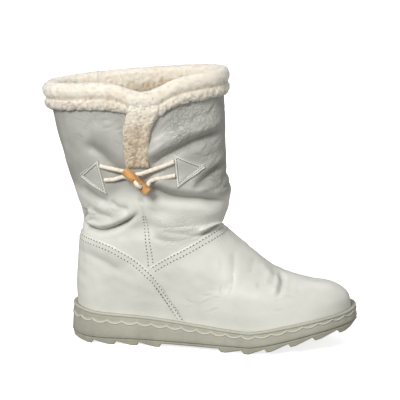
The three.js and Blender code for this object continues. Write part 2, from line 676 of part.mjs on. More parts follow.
// The fur folded over the collar, and the facing down the slit. A section runs from the hem over the lower
// roll, the groove and the upper roll, over the collar and down inside, then back between fur and leather.
function makeCuff() {
  const section = (angle) => {
    const edge = upperPoint(angle, 2);
    const bySlit = Math.sin(angle) > 0 ? hump(edge.x, DIP_X * SOLE_LENGTH, DIP_WIDTH / 2) : 0;
    const hem = CUFF_DROP + CUFF_SAG * bySlit;
    const roll = FUR * (1 - ROLL_THIN * bySlit);
    const point = (drop, lift) => {
      const up = drop > 0 ? solve(1, 2, edge.z - drop, (place) => upperPoint(angle, place).z) : 2;
      const p = upperPoint(angle, up);
      const lump = lift > FUR / 2 ? lumpAt(p) : 0;
      const out = upperNormal(angle, up).multiplyScalar(lift + lump);
      return p.add(out).add(new THREE.Vector3(0, 0, Math.max(0, -drop)));
    };
    const groove = hem - ROLL_HEIGHT;
    const deep = -WALL - FUR_INSIDE;
    return [
      point(hem, 0),
      point(hem + 1, roll * 0.5),
      point(hem - 2, roll * 0.95),
      point(groove + 2.5, roll),
      point(groove, roll * 0.78),
      point(groove - 4, FUR * 1.08),
      point(0, FUR * 1.12),
      point(-FUR_TOP * 0.6, FUR * 0.85),
      point(-FUR_TOP, FUR * 0.3),
      point(-FUR_TOP, -WALL),
      point(-FUR_TOP * 0.6, deep * 0.85),
      point(2, deep),
      point(LINING_DROP, deep * 0.95),
      point(LINING_DROP, -WALL / 2),
      point(hem / 2, -WALL / 2),
    ];
  };
  const count = 2 * CUFF_SIDE_POINTS;
  const folded = chain(Array.from({ length: count }, (_, i) => section(Math.PI * (1 - (2 * i) / count))));
  const facing = (under) =>
    Array.from({ length: FACING_ROWS + 1 }, (_, i) => {
      const up = mix(FACING[0].up, FACING.at(-1).up, i / FACING_ROWS);
      const rear = follow(FACING, "up", "rear", up) * SOLE_LENGTH;
      const front = follow(FACING, "up", "front", up) * SOLE_LENGTH;
      return Array.from({ length: FACING_COLUMNS + 1 }, (_, j) => {
        const across = (2 * j) / FACING_COLUMNS - 1;
        const [x, z] = [mix(rear, front, (across + 1) / 2), heightOnShaft(up)];
        if (under) return sidePoint(x, z, -WALL / 2);
        const round = follow(FACING, "up", "fur", up) * (1 - FUR_CORNER * Math.abs(across) ** 5);
        return sidePoint(x, z, round - FACING_CREASE * hump(across, 0, 0.15) + lumpAt(sidePoint(x, z, 0)));
      });
    });
  return folded.add(plate(facing(true), facing(false)));
}

// Where the toggle lies: its middle and three directions.
const seat = new THREE.Vector2(TOGGLE_X * SOLE_LENGTH, heightOnShaft(TOGGLE_UP));
const outward = sidePoint(seat.x, seat.y, 1).sub(sidePoint(seat.x, seat.y, 0));
const nose = new THREE.Vector3(Math.cos(TOGGLE_TURN), 0, Math.sin(TOGGLE_TURN));
nose.addScaledVector(outward, -nose.dot(outward)).normalize();
const downward = new THREE.Vector3().crossVectors(nose, outward);
const toggleMiddle = sidePoint(seat.x, seat.y, TOGGLE_LIFT);

const byToggle = ([x, z], lift) => sidePoint(seat.x + x * TOGGLE_LENGTH, seat.y + z * TOGGLE_LENGTH, lift);

// A sewn tab: a three-cornered plate that follows the shaft's side.
function makeTab({ top, foot, tip }) {
  const grid = (lift) =>
    Array.from({ length: TAB_ROWS + 1 }, (_, i) =>
      Array.from({ length: TAB_COLUMNS + 1 }, (_, j) => {
        const share = j / TAB_COLUMNS;
        const spot = [0, 1].map((axis) => {
          const blunt = tip[axis] + (foot[axis] - top[axis]) * TAB_TIP * (2 * share - 1);
          return mix(mix(top[axis], foot[axis], share), blunt, i / TAB_ROWS);
        });
        return byToggle(spot, lift);
      }),
    );
  return plate(grid(-WALL / 2), grid(CLEARANCE + TAB_THICKNESS));
}

// A round cord along a route over the shaft's side and round the toggle.
function cordGeometry(route) {
  const points = route.map((row) => {
    if (Array.isArray(row)) return byToggle(row, row[2] * CORD_RADIUS);
    const from = row.from * CORD_RADIUS;
    return toggleMiddle
      .clone()
      .addScaledVector(nose, row.along * TOGGLE_LENGTH)
      .addScaledVector(outward, from * Math.cos(row.turn))
      .addScaledVector(downward, from * Math.sin(row.turn));
  });
  const circle = new THREE.Shape().absarc(0, 0, CORD_RADIUS, 0, 2 * Math.PI, false);
  return new THREE.ExtrudeGeometry(circle, {
    steps: CORD_STEPS * route.length,
    curveSegments: CORD_SIDES / 2,
    bevelEnabled: false,
    extrudePath: new THREE.CatmullRomCurve3(points, false, "centripetal"),
  });
}

// The toggle: a peg with two cross holes for the cord, its axis along its own Y.
function makeToggle() {
  const round = TOGGLE_RADIUS * TOGGLE_ROUND;
  const corner = Array.from({ length: 4 }, (_, i) => {
    const turn = (Math.PI * i) / 6;
    return [TOGGLE_RADIUS - round * (1 - Math.sin(turn)), TOGGLE_LENGTH / 2 - round * (1 - Math.cos(turn))];
  });
  const lower = [[0, TOGGLE_LENGTH / 2], ...corner].map(([x, y]) => new THREE.Vector2(x, -y));
  const upper = lower.map((p) => new THREE.Vector2(p.x, -p.y)).reverse();
  const bore = CORD_RADIUS + HOLE_PLAY;
  const peg = solidOfGeometry(new THREE.LatheGeometry([...lower, ...upper], TOGGLE_SIDES));
  return TOGGLE_HOLES.reduce((drilled, along) => {
    const hole = new THREE.CylinderGeometry(bore, bore, 4 * TOGGLE_RADIUS, TOGGLE_SIDES);
    hole.rotateX(Math.PI / 2).translate(0, along * TOGGLE_LENGTH, 0);
    return drilled.subtract(solidOfGeometry(hole));
  }, peg);
}

// The tread: bars across the sole, with a plain waist between heel and forefoot.
function makeOutsole() {
  const profile = [{ x: 0, root: 0.9 }];
  for (let i = 0; i < HEEL_BARS; i++) {
    const tip = FIRST_BAR * SOLE_LENGTH + i * BAR_PITCH;
    profile.push({ x: tip - BAR_LAND, root: 0 }, { x: tip, root: 0 }, { x: tip + BAR_STEP, root: 1 });
  }
  for (let tip = FIRST_FRONT_BAR * SOLE_LENGTH; tip < SOLE_LENGTH - TOE_MARGIN; tip += BAR_PITCH) {
    profile.push({ x: tip - BAR_STEP, root: 1 }, { x: tip, root: 0 }, { x: tip + BAR_LAND, root: 0 });
  }
  profile.push({ x: SOLE_LENGTH, root: 1 });
  const rootAt = (x) => {
    const k = Math.max(0, profile.findIndex((p) => p.x >= x - 1e-6) - 1);
    const [a, b] = [profile[k], profile[k + 1]];
    return mix(a.root, b.root, clamp((x - a.x) / (b.x - a.x)));
  };
  const between = roundPlaces(TREAD_PLACES).map((share) => share * SOLE_LENGTH);
  const free = between.filter((x) => profile.every((p) => Math.abs(p.x - x) > CLOSEST));
  const xs = [...profile.map((p) => p.x), ...free].sort((a, b) => a - b);
  const places = xs.map((x) => x / SOLE_LENGTH);
  const floorOf = (i) => BAR_DEPTH * rootAt(xs[i]);
  const upperFace = TREAD - CLEARANCE;
  return stack([
    soleRing(places, EDGE, (x, i) => springAt(x) + floorOf(i)),
    soleRing(places, 0, (x, i) => springAt(x) + floorOf(i) + EDGE),
    soleRing(places, 0, (x) => springAt(x) + upperFace - EDGE),
    soleRing(places, GROOVE, (x) => springAt(x) + upperFace),
  ]);
}

// The cup: a leaning side with a scalloped band and a beaded rim, and the platform inside it.
function makeMidsole() {
  const places = evenPlaces(SOLE_SIDE_POINTS);
  const scallop = (i) => SCALLOP_DROP * Math.sin((Math.PI * (i % SCALLOP_POINTS)) / SCALLOP_POINTS);
  const bandAt = (x, i) => rimAt(x) - BAND_DROP * wallAt(x) - scallop(i) + SCALLOP_DROP / 2;
  const bandInset = RIM_INSET * 0.4;
  const beadInset = RIM_INSET * 0.7;
  return stack([
    soleRing(places, GROOVE, (x) => grooveAt(x)),
    soleRing(places, 0, (x) => grooveAt(x) + EDGE),
    soleRing(places, bandInset + BAND_STEP, (x, i) => bandAt(x, i) - EDGE / 2),
    soleRing(places, bandInset, (x, i) => bandAt(x, i) + EDGE / 2),
    soleRing(places, beadInset + EDGE / 2, (x) => rimAt(x) - BEAD * 1.2),
    soleRing(places, beadInset, (x) => rimAt(x) - BEAD * 0.6),
    soleRing(places, RIM_INSET + EDGE, (x) => rimAt(x)),
    soleRing(places, EDGE_INSET - CLEARANCE * 2, (x) => rimAt(x) - EDGE / 2),
    soleRing(places, EDGE_INSET - CLEARANCE, (x) => platformAt(x)),
  ]);
}

function makeInsole() {
  const places = roundPlaces(UPPER_SIDE_POINTS);
  const inset = EDGE_INSET + WALL + CLEARANCE * 3;
  return stack([
    soleRing(places, inset, (x) => platformAt(x) + CLEARANCE),
    soleRing(places, inset, (x) => platformAt(x) + INSOLE_THICKNESS),
    soleRing(places, inset + INSOLE_EDGE, (x) => platformAt(x) + INSOLE_THICKNESS + EDGE),
  ]);
}

// Materials
const leather = new THREE.MeshStandardMaterial({ color: 0xd6d6d0, roughness: 0.5, metalness: 0 });
const fur = new THREE.MeshStandardMaterial({ color: 0xefe4d3, roughness: 1, metalness: 0 });
const rubber = new THREE.MeshStandardMaterial({ color: 0xb4b3a2, roughness: 0.75, metalness: 0 });
const tread = new THREE.MeshStandardMaterial({ color: 0xa3a391, roughness: 0.8, metalness: 0 });
const footbed = new THREE.MeshStandardMaterial({ color: 0xe6d8c4, roughness: 1, metalness: 0 });
const cord = new THREE.MeshStandardMaterial({ color: 0xe9e2d6, roughness: 0.8, metalness: 0 });
const wood = new THREE.MeshStandardMaterial({ color: 0xd9a35c, roughness: 0.4, metalness: 0 });

// Assembly
const boot = new THREE.Group();
boot.position.x = -(FIRST_BAR * SOLE_LENGTH + (HEEL_BARS - 1) * BAR_PITCH - BAR_LAND / 2);

function addPiece(name, geometry, material) {
  const mesh = new THREE.Mesh(geometry, material);
  mesh.name = name;
  boot.add(mesh);
  return mesh;
}

// What the pieces on the leather keep clear of: its wall, with the clearance on both faces.
const keepOut = outerForm(CLEARANCE, CLEARANCE).subtract(innerForm(-WALL - CLEARANCE));
const within = innerForm(-WALL - CLEARANCE);

addPiece("outsole", geometryOf(makeOutsole()), tread);
addPiece("midsole", geometryOf(makeMidsole()), rubber);
addPiece("insole", geometryOf(makeInsole().intersect(within)), footbed);
addPiece("upper", geometryOf(makeUpper()), leather);
addPiece("cuff", geometryOf(makeCuff().subtract(keepOut)), fur);
addPiece("tab_front", geometryOf(makeTab(TAB_FRONT).subtract(keepOut)), leather);
addPiece("tab_rear", geometryOf(makeTab(TAB_REAR).subtract(keepOut)), leather);
addPiece("cord_front", cordGeometry(FRONT_CORD), cord);
addPiece("cord_rear", cordGeometry(REAR_CORD), cord);

const toggle = addPiece("toggle", geometryOf(makeToggle()), wood);
toggle.position.copy(toggleMiddle);
toggle.quaternion.setFromRotationMatrix(new THREE.Matrix4().makeBasis(downward, nose, outward));

export default boot;
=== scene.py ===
"""Looks of a right winter boot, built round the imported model.

The shape functions work in millimetres from the back of the sole, with +X to the toe and +Z up, as the
solids do. Meshes are moved to the model's origin and turned into metres when they are made.
"""
from math import cos, pi, radians, sin

import bpy
import numpy as np
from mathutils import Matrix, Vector, kdtree


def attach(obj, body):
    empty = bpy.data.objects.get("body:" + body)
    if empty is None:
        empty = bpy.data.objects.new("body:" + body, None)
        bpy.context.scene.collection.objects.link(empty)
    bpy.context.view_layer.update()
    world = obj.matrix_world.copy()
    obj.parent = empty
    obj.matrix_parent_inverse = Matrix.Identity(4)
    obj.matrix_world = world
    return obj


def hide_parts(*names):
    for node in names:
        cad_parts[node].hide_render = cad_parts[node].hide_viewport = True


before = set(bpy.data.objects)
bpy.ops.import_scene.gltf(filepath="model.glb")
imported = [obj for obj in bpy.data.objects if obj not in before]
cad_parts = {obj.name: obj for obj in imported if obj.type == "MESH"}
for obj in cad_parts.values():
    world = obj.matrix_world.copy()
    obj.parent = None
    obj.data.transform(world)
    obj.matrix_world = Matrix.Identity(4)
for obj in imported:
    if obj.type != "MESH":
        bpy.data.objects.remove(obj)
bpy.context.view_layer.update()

# Sizes of the solids, in millimetres
SOLE_LENGTH = 280
BALL_WIDTH = 102
HEEL_WIDTH = 71
SHAFT_LENGTH = 168
SHAFT_WIDTH = 88
COLLAR_HEIGHT = 262
INSTEP_HEIGHT = 113
WALL = 3
CLEARANCE = 0.3
TREAD = 6.3
TOE_SPRING = 20
HEEL_WALL = 25
CUP_DEPTH = 7
EDGE_INSET = 6.5
SWELL = 1.6
SWELL_HEIGHT = 16
GROOVE = 1.2
INSOLE_THICKNESS = 4
FUR = 7.5
FUR_INSIDE = 6.5
FUR_TOP = 7.5
CUFF_DROP = 17
CUFF_SAG = 5
ROLL_HEIGHT = 9
LINING_DROP = 24
DIP = 12
DIP_X = 0.286 * SOLE_LENGTH
DIP_WIDTH = 24
SLIT_X = 0.273 * SOLE_LENGTH
SLIT_LEAN = 4
SLIT_WIDTH = 7
CORD_RADIUS = 2
LAY_LENGTH = 5.5  # of the twist of a cord's yarns
TOGGLE_LENGTH = 31
TOGGLE_RADIUS = 4.4
TOGGLE_LIFT = 13.6
TOGGLE_TURN = -0.735
TOGGLE_X = 0.268 * SOLE_LENGTH
TOGGLE_UP = 0.369
TOGGLE_HOLES = (0, 0.206)  # from its middle, as shares of its length
HOLE_PLAY = 0.5
TAB_TIP = 0.05
ORIGIN = np.array([89.38, 0, 0])  # the model's origin, from the back of the sole

# Plan of the sole: along, middle line, width
PLAN = np.array([
    [0, 0, 0.96], [0.14, 0, 1], [0.3, -0.01, 0.95], [0.45, -0.028, 0.88], [0.6, -0.015, 0.92],
    [0.7, 0, 1], [0.8, 0.025, 0.98], [0.9, 0.055, 0.93], [1, 0.08, 0.88],
])
WIDEN_FROM = 0.18
WIDEN_TO = 0.66
HEEL_ROUND = 0.135
TOE_ROUND = 0.235
TOE_POWER = 2.25
# Side of the sole: along, rise of the tread, height of the side
SIDE = np.array([
    [0, 0, 1.16], [0.08, 0, 1.06], [0.15, 0, 1], [0.31, 0, 0.91], [0.46, 0, 0.76], [0.63, 0, 0.62],
    [0.7, 0.15, 0.61], [0.77, 0.38, 0.59], [0.84, 0.62, 0.55], [0.91, 0.81, 0.52], [1, 1, 0.5],
])
# Back of the heel and middle line over the foot: up, reach, climb
HEEL_BACK = np.array([[0, 0, 0], [0.3, -0.055, 0.29], [0.7, 0.374, 0.735], [1, 1, 1]])
CROWN = np.array([
    [0, 1, 0], [0.03, 1, 0.085], [0.06, 0.993, 0.182], [0.12, 0.964, 0.263], [0.19, 0.895, 0.325],
    [0.28, 0.796, 0.361], [0.42, 0.618, 0.404], [0.55, 0.459, 0.479], [0.66, 0.33, 0.601],
    [0.8, 0.184, 0.773], [1, 0, 1],
])
# Sections of the shaft: up, back, front, height of the back, of the front, outer and inner half width
SHAFT = np.array([
    [0, 0.06, 0.887, 0, 0, 0.9, 0.87], [0.09, 0.073, 0.87, 0.087, 0.061, 0.88, 0.85],
    [0.18, 0.072, 0.92, 0.18, 0.149, 0.97, 0.93], [0.27, 0.048, 0.93, 0.273, 0.239, 1.02, 0.97],
    [0.42, 0.002, 0.905, 0.432, 0.388, 1.03, 1], [0.63, -0.052, 0.898, 0.652, 0.595, 1.03, 1.02],
    [0.83, -0.095, 0.892, 0.858, 0.815, 1.01, 1.01], [1, -0.117, 0.885, 1, 1, 1, 1],
])
FOOT_FROM = 0.16 * SOLE_LENGTH
FOOT_TO = 0.43 * SOLE_LENGTH
ANKLE_BACK = 0.885
COLLAR_BACK = 0.939
SECTION_ROUND = 2.3
SIDES_MEET = 18  # folds of one side end within this distance of the middle
# Seams in the side view: x, z
COUNTER_EDGE = np.array([
    [-14, 111.9], [8.4, 107.4], [40.9, 101.7], [65, 90.4], [80.9, 78], [94.1, 65.5], [105, 50.9],
    [113.1, 37.3], [122.1, 18.1],
])
VAMP_EDGE = np.array([[80.9, 78], [98, 89.3], [117.9, 100], [136.9, 110], [156.8, 118]])
SIDE_SEAM = np.array([[85, 78], [84, 91], [82, 106], [81, 116], [79.5, 130]])
INNER_SEAM = np.array([
    [81.5, 78], [79, 92], [77.5, 108], [76, 125], [74, 151], [71, 185], [68, 215], [66, 245],
])
# Fur facing down the slit: up, rear edge, front edge, thickness
FACING = np.array([
    [0.433, 0.227, 0.302, 3], [0.47, 0.223, 0.3035, 5], [0.52, 0.2195, 0.305, 5], [0.604, 0.2155, 0.3047, 5],
    [0.678, 0.217, 0.311, 5.6], [0.725, 0.2225, 0.321, 6.6], [0.8, 0.231, 0.34, 6.8],
    [0.885, 0.24, 0.338, 4.6],
])
# Tabs and cords, measured from the toggle in its lengths: along and up, with lifts in cord radii.
# In the toggle's holes: place along it, angle round it, and distance from its middle in cord radii.
TAB_FRONT = {"top": (1.065, 0.742), "foot": (1.161, -0.258), "tip": (1.903, 0.355)}
TAB_REAR = {"top": (-1.274, 0.5), "foot": (-0.984, -0.548), "tip": (-1.839, -0.032)}
HOLE_LIPS = (TOGGLE_HOLES[0] + 0.013, TOGGLE_HOLES[1] - 0.013)
REAR_CORD = [
    ("leather", [
        (-1.187, 0.348, 1.2), (-0.935, 0.297, 1.2), (-0.645, 0.252, 1.2), (-0.4, 0.2, 1.2),
        (-0.226, 0.116, 1.2), (-0.116, 0.055, 1.4),
    ]),
    ("toggle", [
        (TOGGLE_HOLES[0], pi, 3.8), (TOGGLE_HOLES[0], pi, 1.5), (TOGGLE_HOLES[0], 0, 1.5),
        (HOLE_LIPS[0], 0, 2.8), (sum(TOGGLE_HOLES) / 2, 0, 3.65), (HOLE_LIPS[1], 0, 2.8),
        (TOGGLE_HOLES[1], 0, 1.5), (TOGGLE_HOLES[1], pi, 1.5), (TOGGLE_HOLES[1], pi, 3.8),
    ]),
    ("leather", [
        (0.065, -0.165, 1.5), (-0.065, -0.139, 1.2), (-0.226, -0.045, 1.2), (-0.4, 0.045, 1.2),
        (-0.58, 0.006, 1.2), (-0.774, -0.055, 1.2), (-1.052, -0.09, 1.2),
    ]),
]
FRONT_CORD = [
    ("leather", [
        (1.065, 0.535, 1.2), (0.71, 0.39, 1.5), (0.452, 0.3, 2.2), (0.258, 0.239, 3), (0.09, 0.181, 3.4),
        (-0.058, 0.148, 3.45), (-0.148, 0.052, 3.45), (-0.142, -0.058, 3.45), (-0.052, -0.168, 3.45),
        (0.071, -0.265, 3.45), (0.206, -0.277, 3.4), (0.297, -0.181, 3.2), (0.348, -0.071, 2.7),
        (0.484, -0.003, 1.9), (0.71, 0.035, 1.4), (1.103, 0.11, 1.2),
    ]),
]
# Folds of the leather in the side view: side (-1 outer, 1 inner, 0 both), depth, width, sharpness,
# ridge above, ridge below, open ends, and the line. A negative depth is a broad bulge.
FOLDS = [
    (-1, 5.0, 2.3, 1.15, 2.4, 0.6, "start",
     [(19, 128), (13.5, 120), (20, 113.5), (33, 112.5), (47, 116), (60, 122.5), (70, 130), (75, 137)]),
    (-1, 0.6, 2.4, 1.3, 0.3, 0.3, "", [(26, 133), (38, 129), (49, 128)]),
    (0, 5.2, 1.9, 1.1, 4.0, 0.4, "start",
     [(162, 129), (156, 125.5), (150, 121.5), (143, 117), (136, 113), (128, 109)]),
    (-1, 5.4, 4.2, 1.35, 5.2, 2.0, "",
     [(78, 161), (92, 156.5), (105, 151), (117, 149), (130, 148), (143, 145), (158, 141)]),
    (-1, -5.2, 12.0, 2.0, 0, 0, "", [(84, 124), (102, 121), (122, 120), (142, 120), (160, 121)]),
    (-1, 5.2, 4.6, 1.35, 5.2, 1.0, "",
     [(82, 175), (95, 186), (105, 192), (117, 198), (131, 204), (146, 208), (158, 211)]),
    (-1, 3.8, 3.2, 1.3, 2.6, 0.8, "",
     [(122, 158), (129, 161), (137, 167.5), (145, 173.5), (153, 178), (161, 183)]),
    (-1, 0.8, 2.2, 1.3, 0.4, 0.4, "", [(130, 154), (142, 156), (154, 160)]),
    (-1, 0.9, 1.5, 1.3, 0.3, 0.3, "", [(75, 153), (77, 143), (79, 133), (80.5, 120)]),
    (-1, 3.6, 7.0, 1.8, 1.6, 0.8, "", [(20, 200), (33, 194), (46, 184), (58, 174), (66, 168)]),
    (-1, 1.4, 3.6, 1.5, 0.6, 1.2, "", [(17, 157), (28, 150), (46, 143)]),
    (-1, 1.4, 3.4, 1.4, 0.6, 0.9, "", [(46, 146), (56, 139), (66, 138)]),
    (-1, 1.6, 5.0, 1.6, 0.4, 0.6, "", [(84, 160), (79, 151), (75, 142)]),
    (-1, 0.4, 2.6, 1.4, 0.2, 0.2, "", [(88, 124), (104, 122), (122, 124)]),
    (-1, 0.5, 2.2, 1.4, 0.3, 0.3, "", [(94, 117), (110, 114), (126, 113)]),
    (-1, 0.6, 2.4, 1.4, 0.3, 0.3, "", [(86, 110), (100, 107), (116, 106)]),
    (0, 1.2, 3.4, 1.6, 0.4, 0.6, "start", [(162, 169), (152, 165), (141, 163)]),
    (0, 1.1, 3.0, 1.5, 0.5, 0.5, "start", [(164, 157), (154, 156), (143, 158)]),
    (1, 3.0, 4.0, 1.4, 2.2, 0.8, "start", [(8, 122), (24, 119), (44, 121), (62, 127), (80, 134)]),
    (1, 3.0, 4.4, 1.5, 1.2, 2.0, "", [(76, 152), (92, 148), (116, 147), (136, 144), (154, 145)]),
    (1, 2.0, 6.0, 1.8, 1.0, 1.0, "", [(26, 190), (46, 182), (68, 172), (92, 163)]),
    (1, 1.6, 4.6, 1.6, 0.8, 1.0, "", [(96, 176), (116, 186), (136, 192), (152, 201)]),
    (1, 1.2, 3.0, 1.4, 0.5, 0.6, "", [(18, 150), (34, 144), (54, 142)]),
    (1, 0.9, 2.6, 1.4, 0.4, 0.5, "", [(90, 126), (108, 124), (126, 127)]),
    (-1, 0.7, 2.6, 1.6, 0.4, 0.4, "", [(161, 96), (163, 84), (163, 62)]),
    (-1, 0.6, 2.6, 1.6, 0.3, 0.4, "", [(181, 88), (179, 74)]),
    (-1, 2.4, 2.0, 1.2, 0.5, 2.4, "",
     [(188, 85), (198, 77), (205, 71), (208.5, 65), (207.5, 59), (204, 53)]),
    (-1, 1.1, 2.2, 1.4, 0.5, 0.7, "", [(197, 77), (200, 70), (199, 63)]),
    (1, 1.8, 3.0, 1.4, 1.4, 0.8, "", [(190, 93), (202, 86), (209, 76), (209, 64)]),
    (0, 0.8, 2.6, 1.6, 0.5, 0.5, "", [(205, 88), (216, 80), (221, 70)]),
    (0, 0.9, 5.0, 1.8, 0.8, 0.2, "", [(6, 90), (19, 89), (35, 85), (47, 80), (58, 72)]),
]


def mix(a, b, t):
    return a + (b - a) * t


def smooth(low, high, x):
    t = np.clip((x - low) / (high - low), 0, 1)
    return t * t * (3 - 2 * t)


def hump(x, middle, width):
    return np.exp(-(((x - middle) / width) ** 2))


def follow(table, column, at):
    """A table's column at a place, through every row and with no overshoot."""
    keys, values = table[:, 0], table[:, column]
    slopes = np.diff(values) / np.diff(keys)
    agree = slopes[:-1] * slopes[1:] > 0
    total = np.where(agree, slopes[:-1] + slopes[1:], 1)
    inner = np.where(agree, 2 * slopes[:-1] * slopes[1:] / total, 0)
    tangents = np.concatenate([slopes[:1], inner, slopes[-1:]])
    at = np.clip(at, keys[0], keys[-1])
    k = np.clip(np.searchsorted(keys, at, side="right") - 1, 0, len(keys) - 2)
    width = keys[k + 1] - keys[k]
    t = (at - keys[k]) / width
    bend = width * t * (1 - t) * (tangents[k] * (1 - t) - tangents[k + 1] * t)
    return values[k] + (values[k + 1] - values[k]) * t * t * (3 - 2 * t) + bend


def unit(v):
    return v / np.maximum(np.linalg.norm(v, axis=-1, keepdims=True), 1e-9)


def waves(points, length, seed, count=14):
    """A smooth random field of about -1 to 1, whose hills are about one length apart."""
    source = np.random.default_rng(seed)
    directions = unit(source.normal(size=(count, 3)))
    lengths = length * source.uniform(0.75, 1.35, count)
    phases = source.uniform(0, 2 * pi, count)
    total = np.zeros(points.shape[:-1])
    for direction, size, phase in zip(directions, lengths, phases):
        total += np.cos(points @ direction * (2 * pi / size) + phase)
    return total / (count / 2) ** 0.5 / 1.6


# Heights along the sole

def groove_at(x):
    return TREAD + TOE_SPRING * follow(SIDE, 1, x / SOLE_LENGTH)


def wall_at(x):
    return HEEL_WALL * follow(SIDE, 2, x / SOLE_LENGTH)


def rim_at(x):
    return groove_at(x) + wall_at(x)


def feather_at(x):
    return rim_at(x) - CUP_DEPTH + CLEARANCE


def plan_at(x, inset):
    """Middle line and half width of the sole's outline, drawn in by an inset."""
    along = x / SOLE_LENGTH
    local = mix(HEEL_WIDTH, BALL_WIDTH, smooth(WIDEN_FROM, WIDEN_TO, along))
    full = local * follow(PLAN, 2, along) / 2 - inset
    into_heel = np.clip(1 - (x - inset) / (SOLE_LENGTH * HEEL_ROUND - inset), 0, 1)
    into_toe = np.clip(1 - (SOLE_LENGTH - inset - x) / (SOLE_LENGTH * TOE_ROUND - inset), 0, 1)
    rounding = np.sqrt(1 - into_heel**2) * (1 - into_toe**TOE_POWER) ** (1 / TOE_POWER)
    return local * follow(PLAN, 1, along), full * rounding


# Shape of the upper: angle 0 is its back and pi its front; the sine is positive on the outer side

def oval_at(share):
    return (1 - np.abs(2 * share - 1) ** SECTION_ROUND) ** (1 / SECTION_ROUND)


def share_of(angle):
    return (1 - np.cos(angle)) / 2


def side_of(angle):
    return np.where(np.sin(angle) > 0, -1, 1)


def height_on_shaft(share):
    return mix(INSTEP_HEIGHT, COLLAR_HEIGHT, share)


def shaft_ends(up):
    back_z = mix(INSTEP_HEIGHT * ANKLE_BACK, COLLAR_HEIGHT * COLLAR_BACK, follow(SHAFT, 3, up))
    front_z = mix(INSTEP_HEIGHT, COLLAR_HEIGHT, follow(SHAFT, 4, up))
    return SHAFT_LENGTH * follow(SHAFT, 1, up), back_z, SHAFT_LENGTH * follow(SHAFT, 2, up), front_z


def half_shaft(side, up):
    return SHAFT_WIDTH / 2 * np.where(side < 0, follow(SHAFT, 5, up), follow(SHAFT, 6, up))


def shaft_point(angle, up):
    side, share = side_of(angle), share_of(angle)
    back_x, back_z, front_x, front_z = shaft_ends(up)
    x = mix(back_x, front_x, share)
    sag = np.where(side < 0, DIP * hump(x, DIP_X, DIP_WIDTH) * smooth(0.7, 1, up), 0)
    z = mix(back_z, front_z, share) - sag
    return np.stack(np.broadcast_arrays(x, side * half_shaft(side, up) * oval_at(share), z), -1)


ANKLE = [float(v) for v in shaft_ends(0)]
TOE_END = SOLE_LENGTH - EDGE_INSET
TOE_FEATHER = float(feather_at(TOE_END))
HEEL_FEATHER = float(feather_at(EDGE_INSET))
ANKLE_SLOPE = (ANKLE[3] - ANKLE[1]) / (ANKLE[2] - ANKLE[0])


def crown_x(up):
    return mix(ANKLE[2], TOE_END, follow(CROWN, 1, up))


def crown_z(up):
    return mix(TOE_FEATHER, ANKLE[3], follow(CROWN, 2, up))


def ankle_line(x):
    return ANKLE[3] + ANKLE_SLOPE * (x - ANKLE[2])


CROWN_UPS = np.linspace(1, 0, 3001)
CROWN_XS = crown_x(CROWN_UPS)
CROWN_ZS = crown_z(CROWN_UPS)
CROWN_DEPTHS = ankle_line(CROWN_XS) - CROWN_ZS


def foot_point(angle, up):
    side, share = side_of(angle), share_of(angle)
    low_x = mix(EDGE_INSET, TOE_END, share)
    reach, climb = follow(HEEL_BACK, 1, up), follow(HEEL_BACK, 2, up)
    over_x = mix(
        mix(EDGE_INSET, ANKLE[0], reach) - mix(EDGE_INSET, ANKLE[0], up),
        crown_x(up) - mix(TOE_END, ANKLE[2], up),
        share,
    )
    over_z = mix(
        mix(HEEL_FEATHER, ANKLE[1], climb) - mix(HEEL_FEATHER, ANKLE[1], up),
        crown_z(up) - mix(TOE_FEATHER, ANKLE[3], up),
        share,
    )
    x = over_x + mix(low_x, mix(ANKLE[0], ANKLE[2], share), up)
    z = over_z + mix(feather_at(low_x), mix(ANKLE[1], ANKLE[3], share), up)
    forward = smooth(FOOT_FROM, FOOT_TO, x)
    inside = np.minimum(x, TOE_END)
    floor = feather_at(inside)
    top = np.where(x <= ANKLE[2], ankle_line(x), np.interp(x, CROWN_XS, CROWN_ZS))
    climb = np.clip(mix(up, (z - floor) / np.maximum(1, top - floor), forward), 0, 1)
    under_middle, under_half = plan_at(low_x, EDGE_INSET)
    here_middle, here_half = plan_at(inside, EDGE_INSET)
    crown_reach = np.interp(ankle_line(x) - z, CROWN_DEPTHS, CROWN_XS)
    along = np.clip((x - ANKLE[0]) / (crown_reach - ANKLE[0]), 0, 1)
    place = mix(share, along, forward)
    soft = smooth(0, 1, climb)
    base = mix(under_half, here_half, forward)
    middle = mix(under_middle, here_middle, forward) * (1 - soft)
    over_rim = smooth(CUP_DEPTH, CUP_DEPTH + SWELL_HEIGHT, z - floor)
    swell = SWELL * over_rim * (1 - climb) * np.clip(base / SWELL_HEIGHT, 0, 1)
    half = mix(base, half_shaft(side, 0) * oval_at(place), soft) + swell
    return np.stack(np.broadcast_arrays(x, middle + side * half, z), -1)


def upper_point(angle, up):
    angle, up = np.broadcast_arrays(np.asarray(angle, float), np.asarray(up, float))
    foot = foot_point(angle, np.clip(up, 0, 1))
    shaft = shaft_point(angle, np.clip(up - 1, 0, 1))
    return np.where((up <= 1)[..., None], foot, shaft)


def upper_normal(angle, up):
    step = 0.02
    angle, up = np.asarray(angle, float), np.asarray(up, float)
    across = upper_point(angle + step, up) - upper_point(angle - step, up)
    along = upper_point(angle, np.minimum(2, up + step)) - upper_point(angle, np.maximum(0, up - step))
    return unit(np.cross(across, along))


def lengths_along(points):
    """How far along a line each of its points lies."""
    return np.concatenate([[0], np.cumsum(np.linalg.norm(np.diff(points, axis=0), axis=1))])


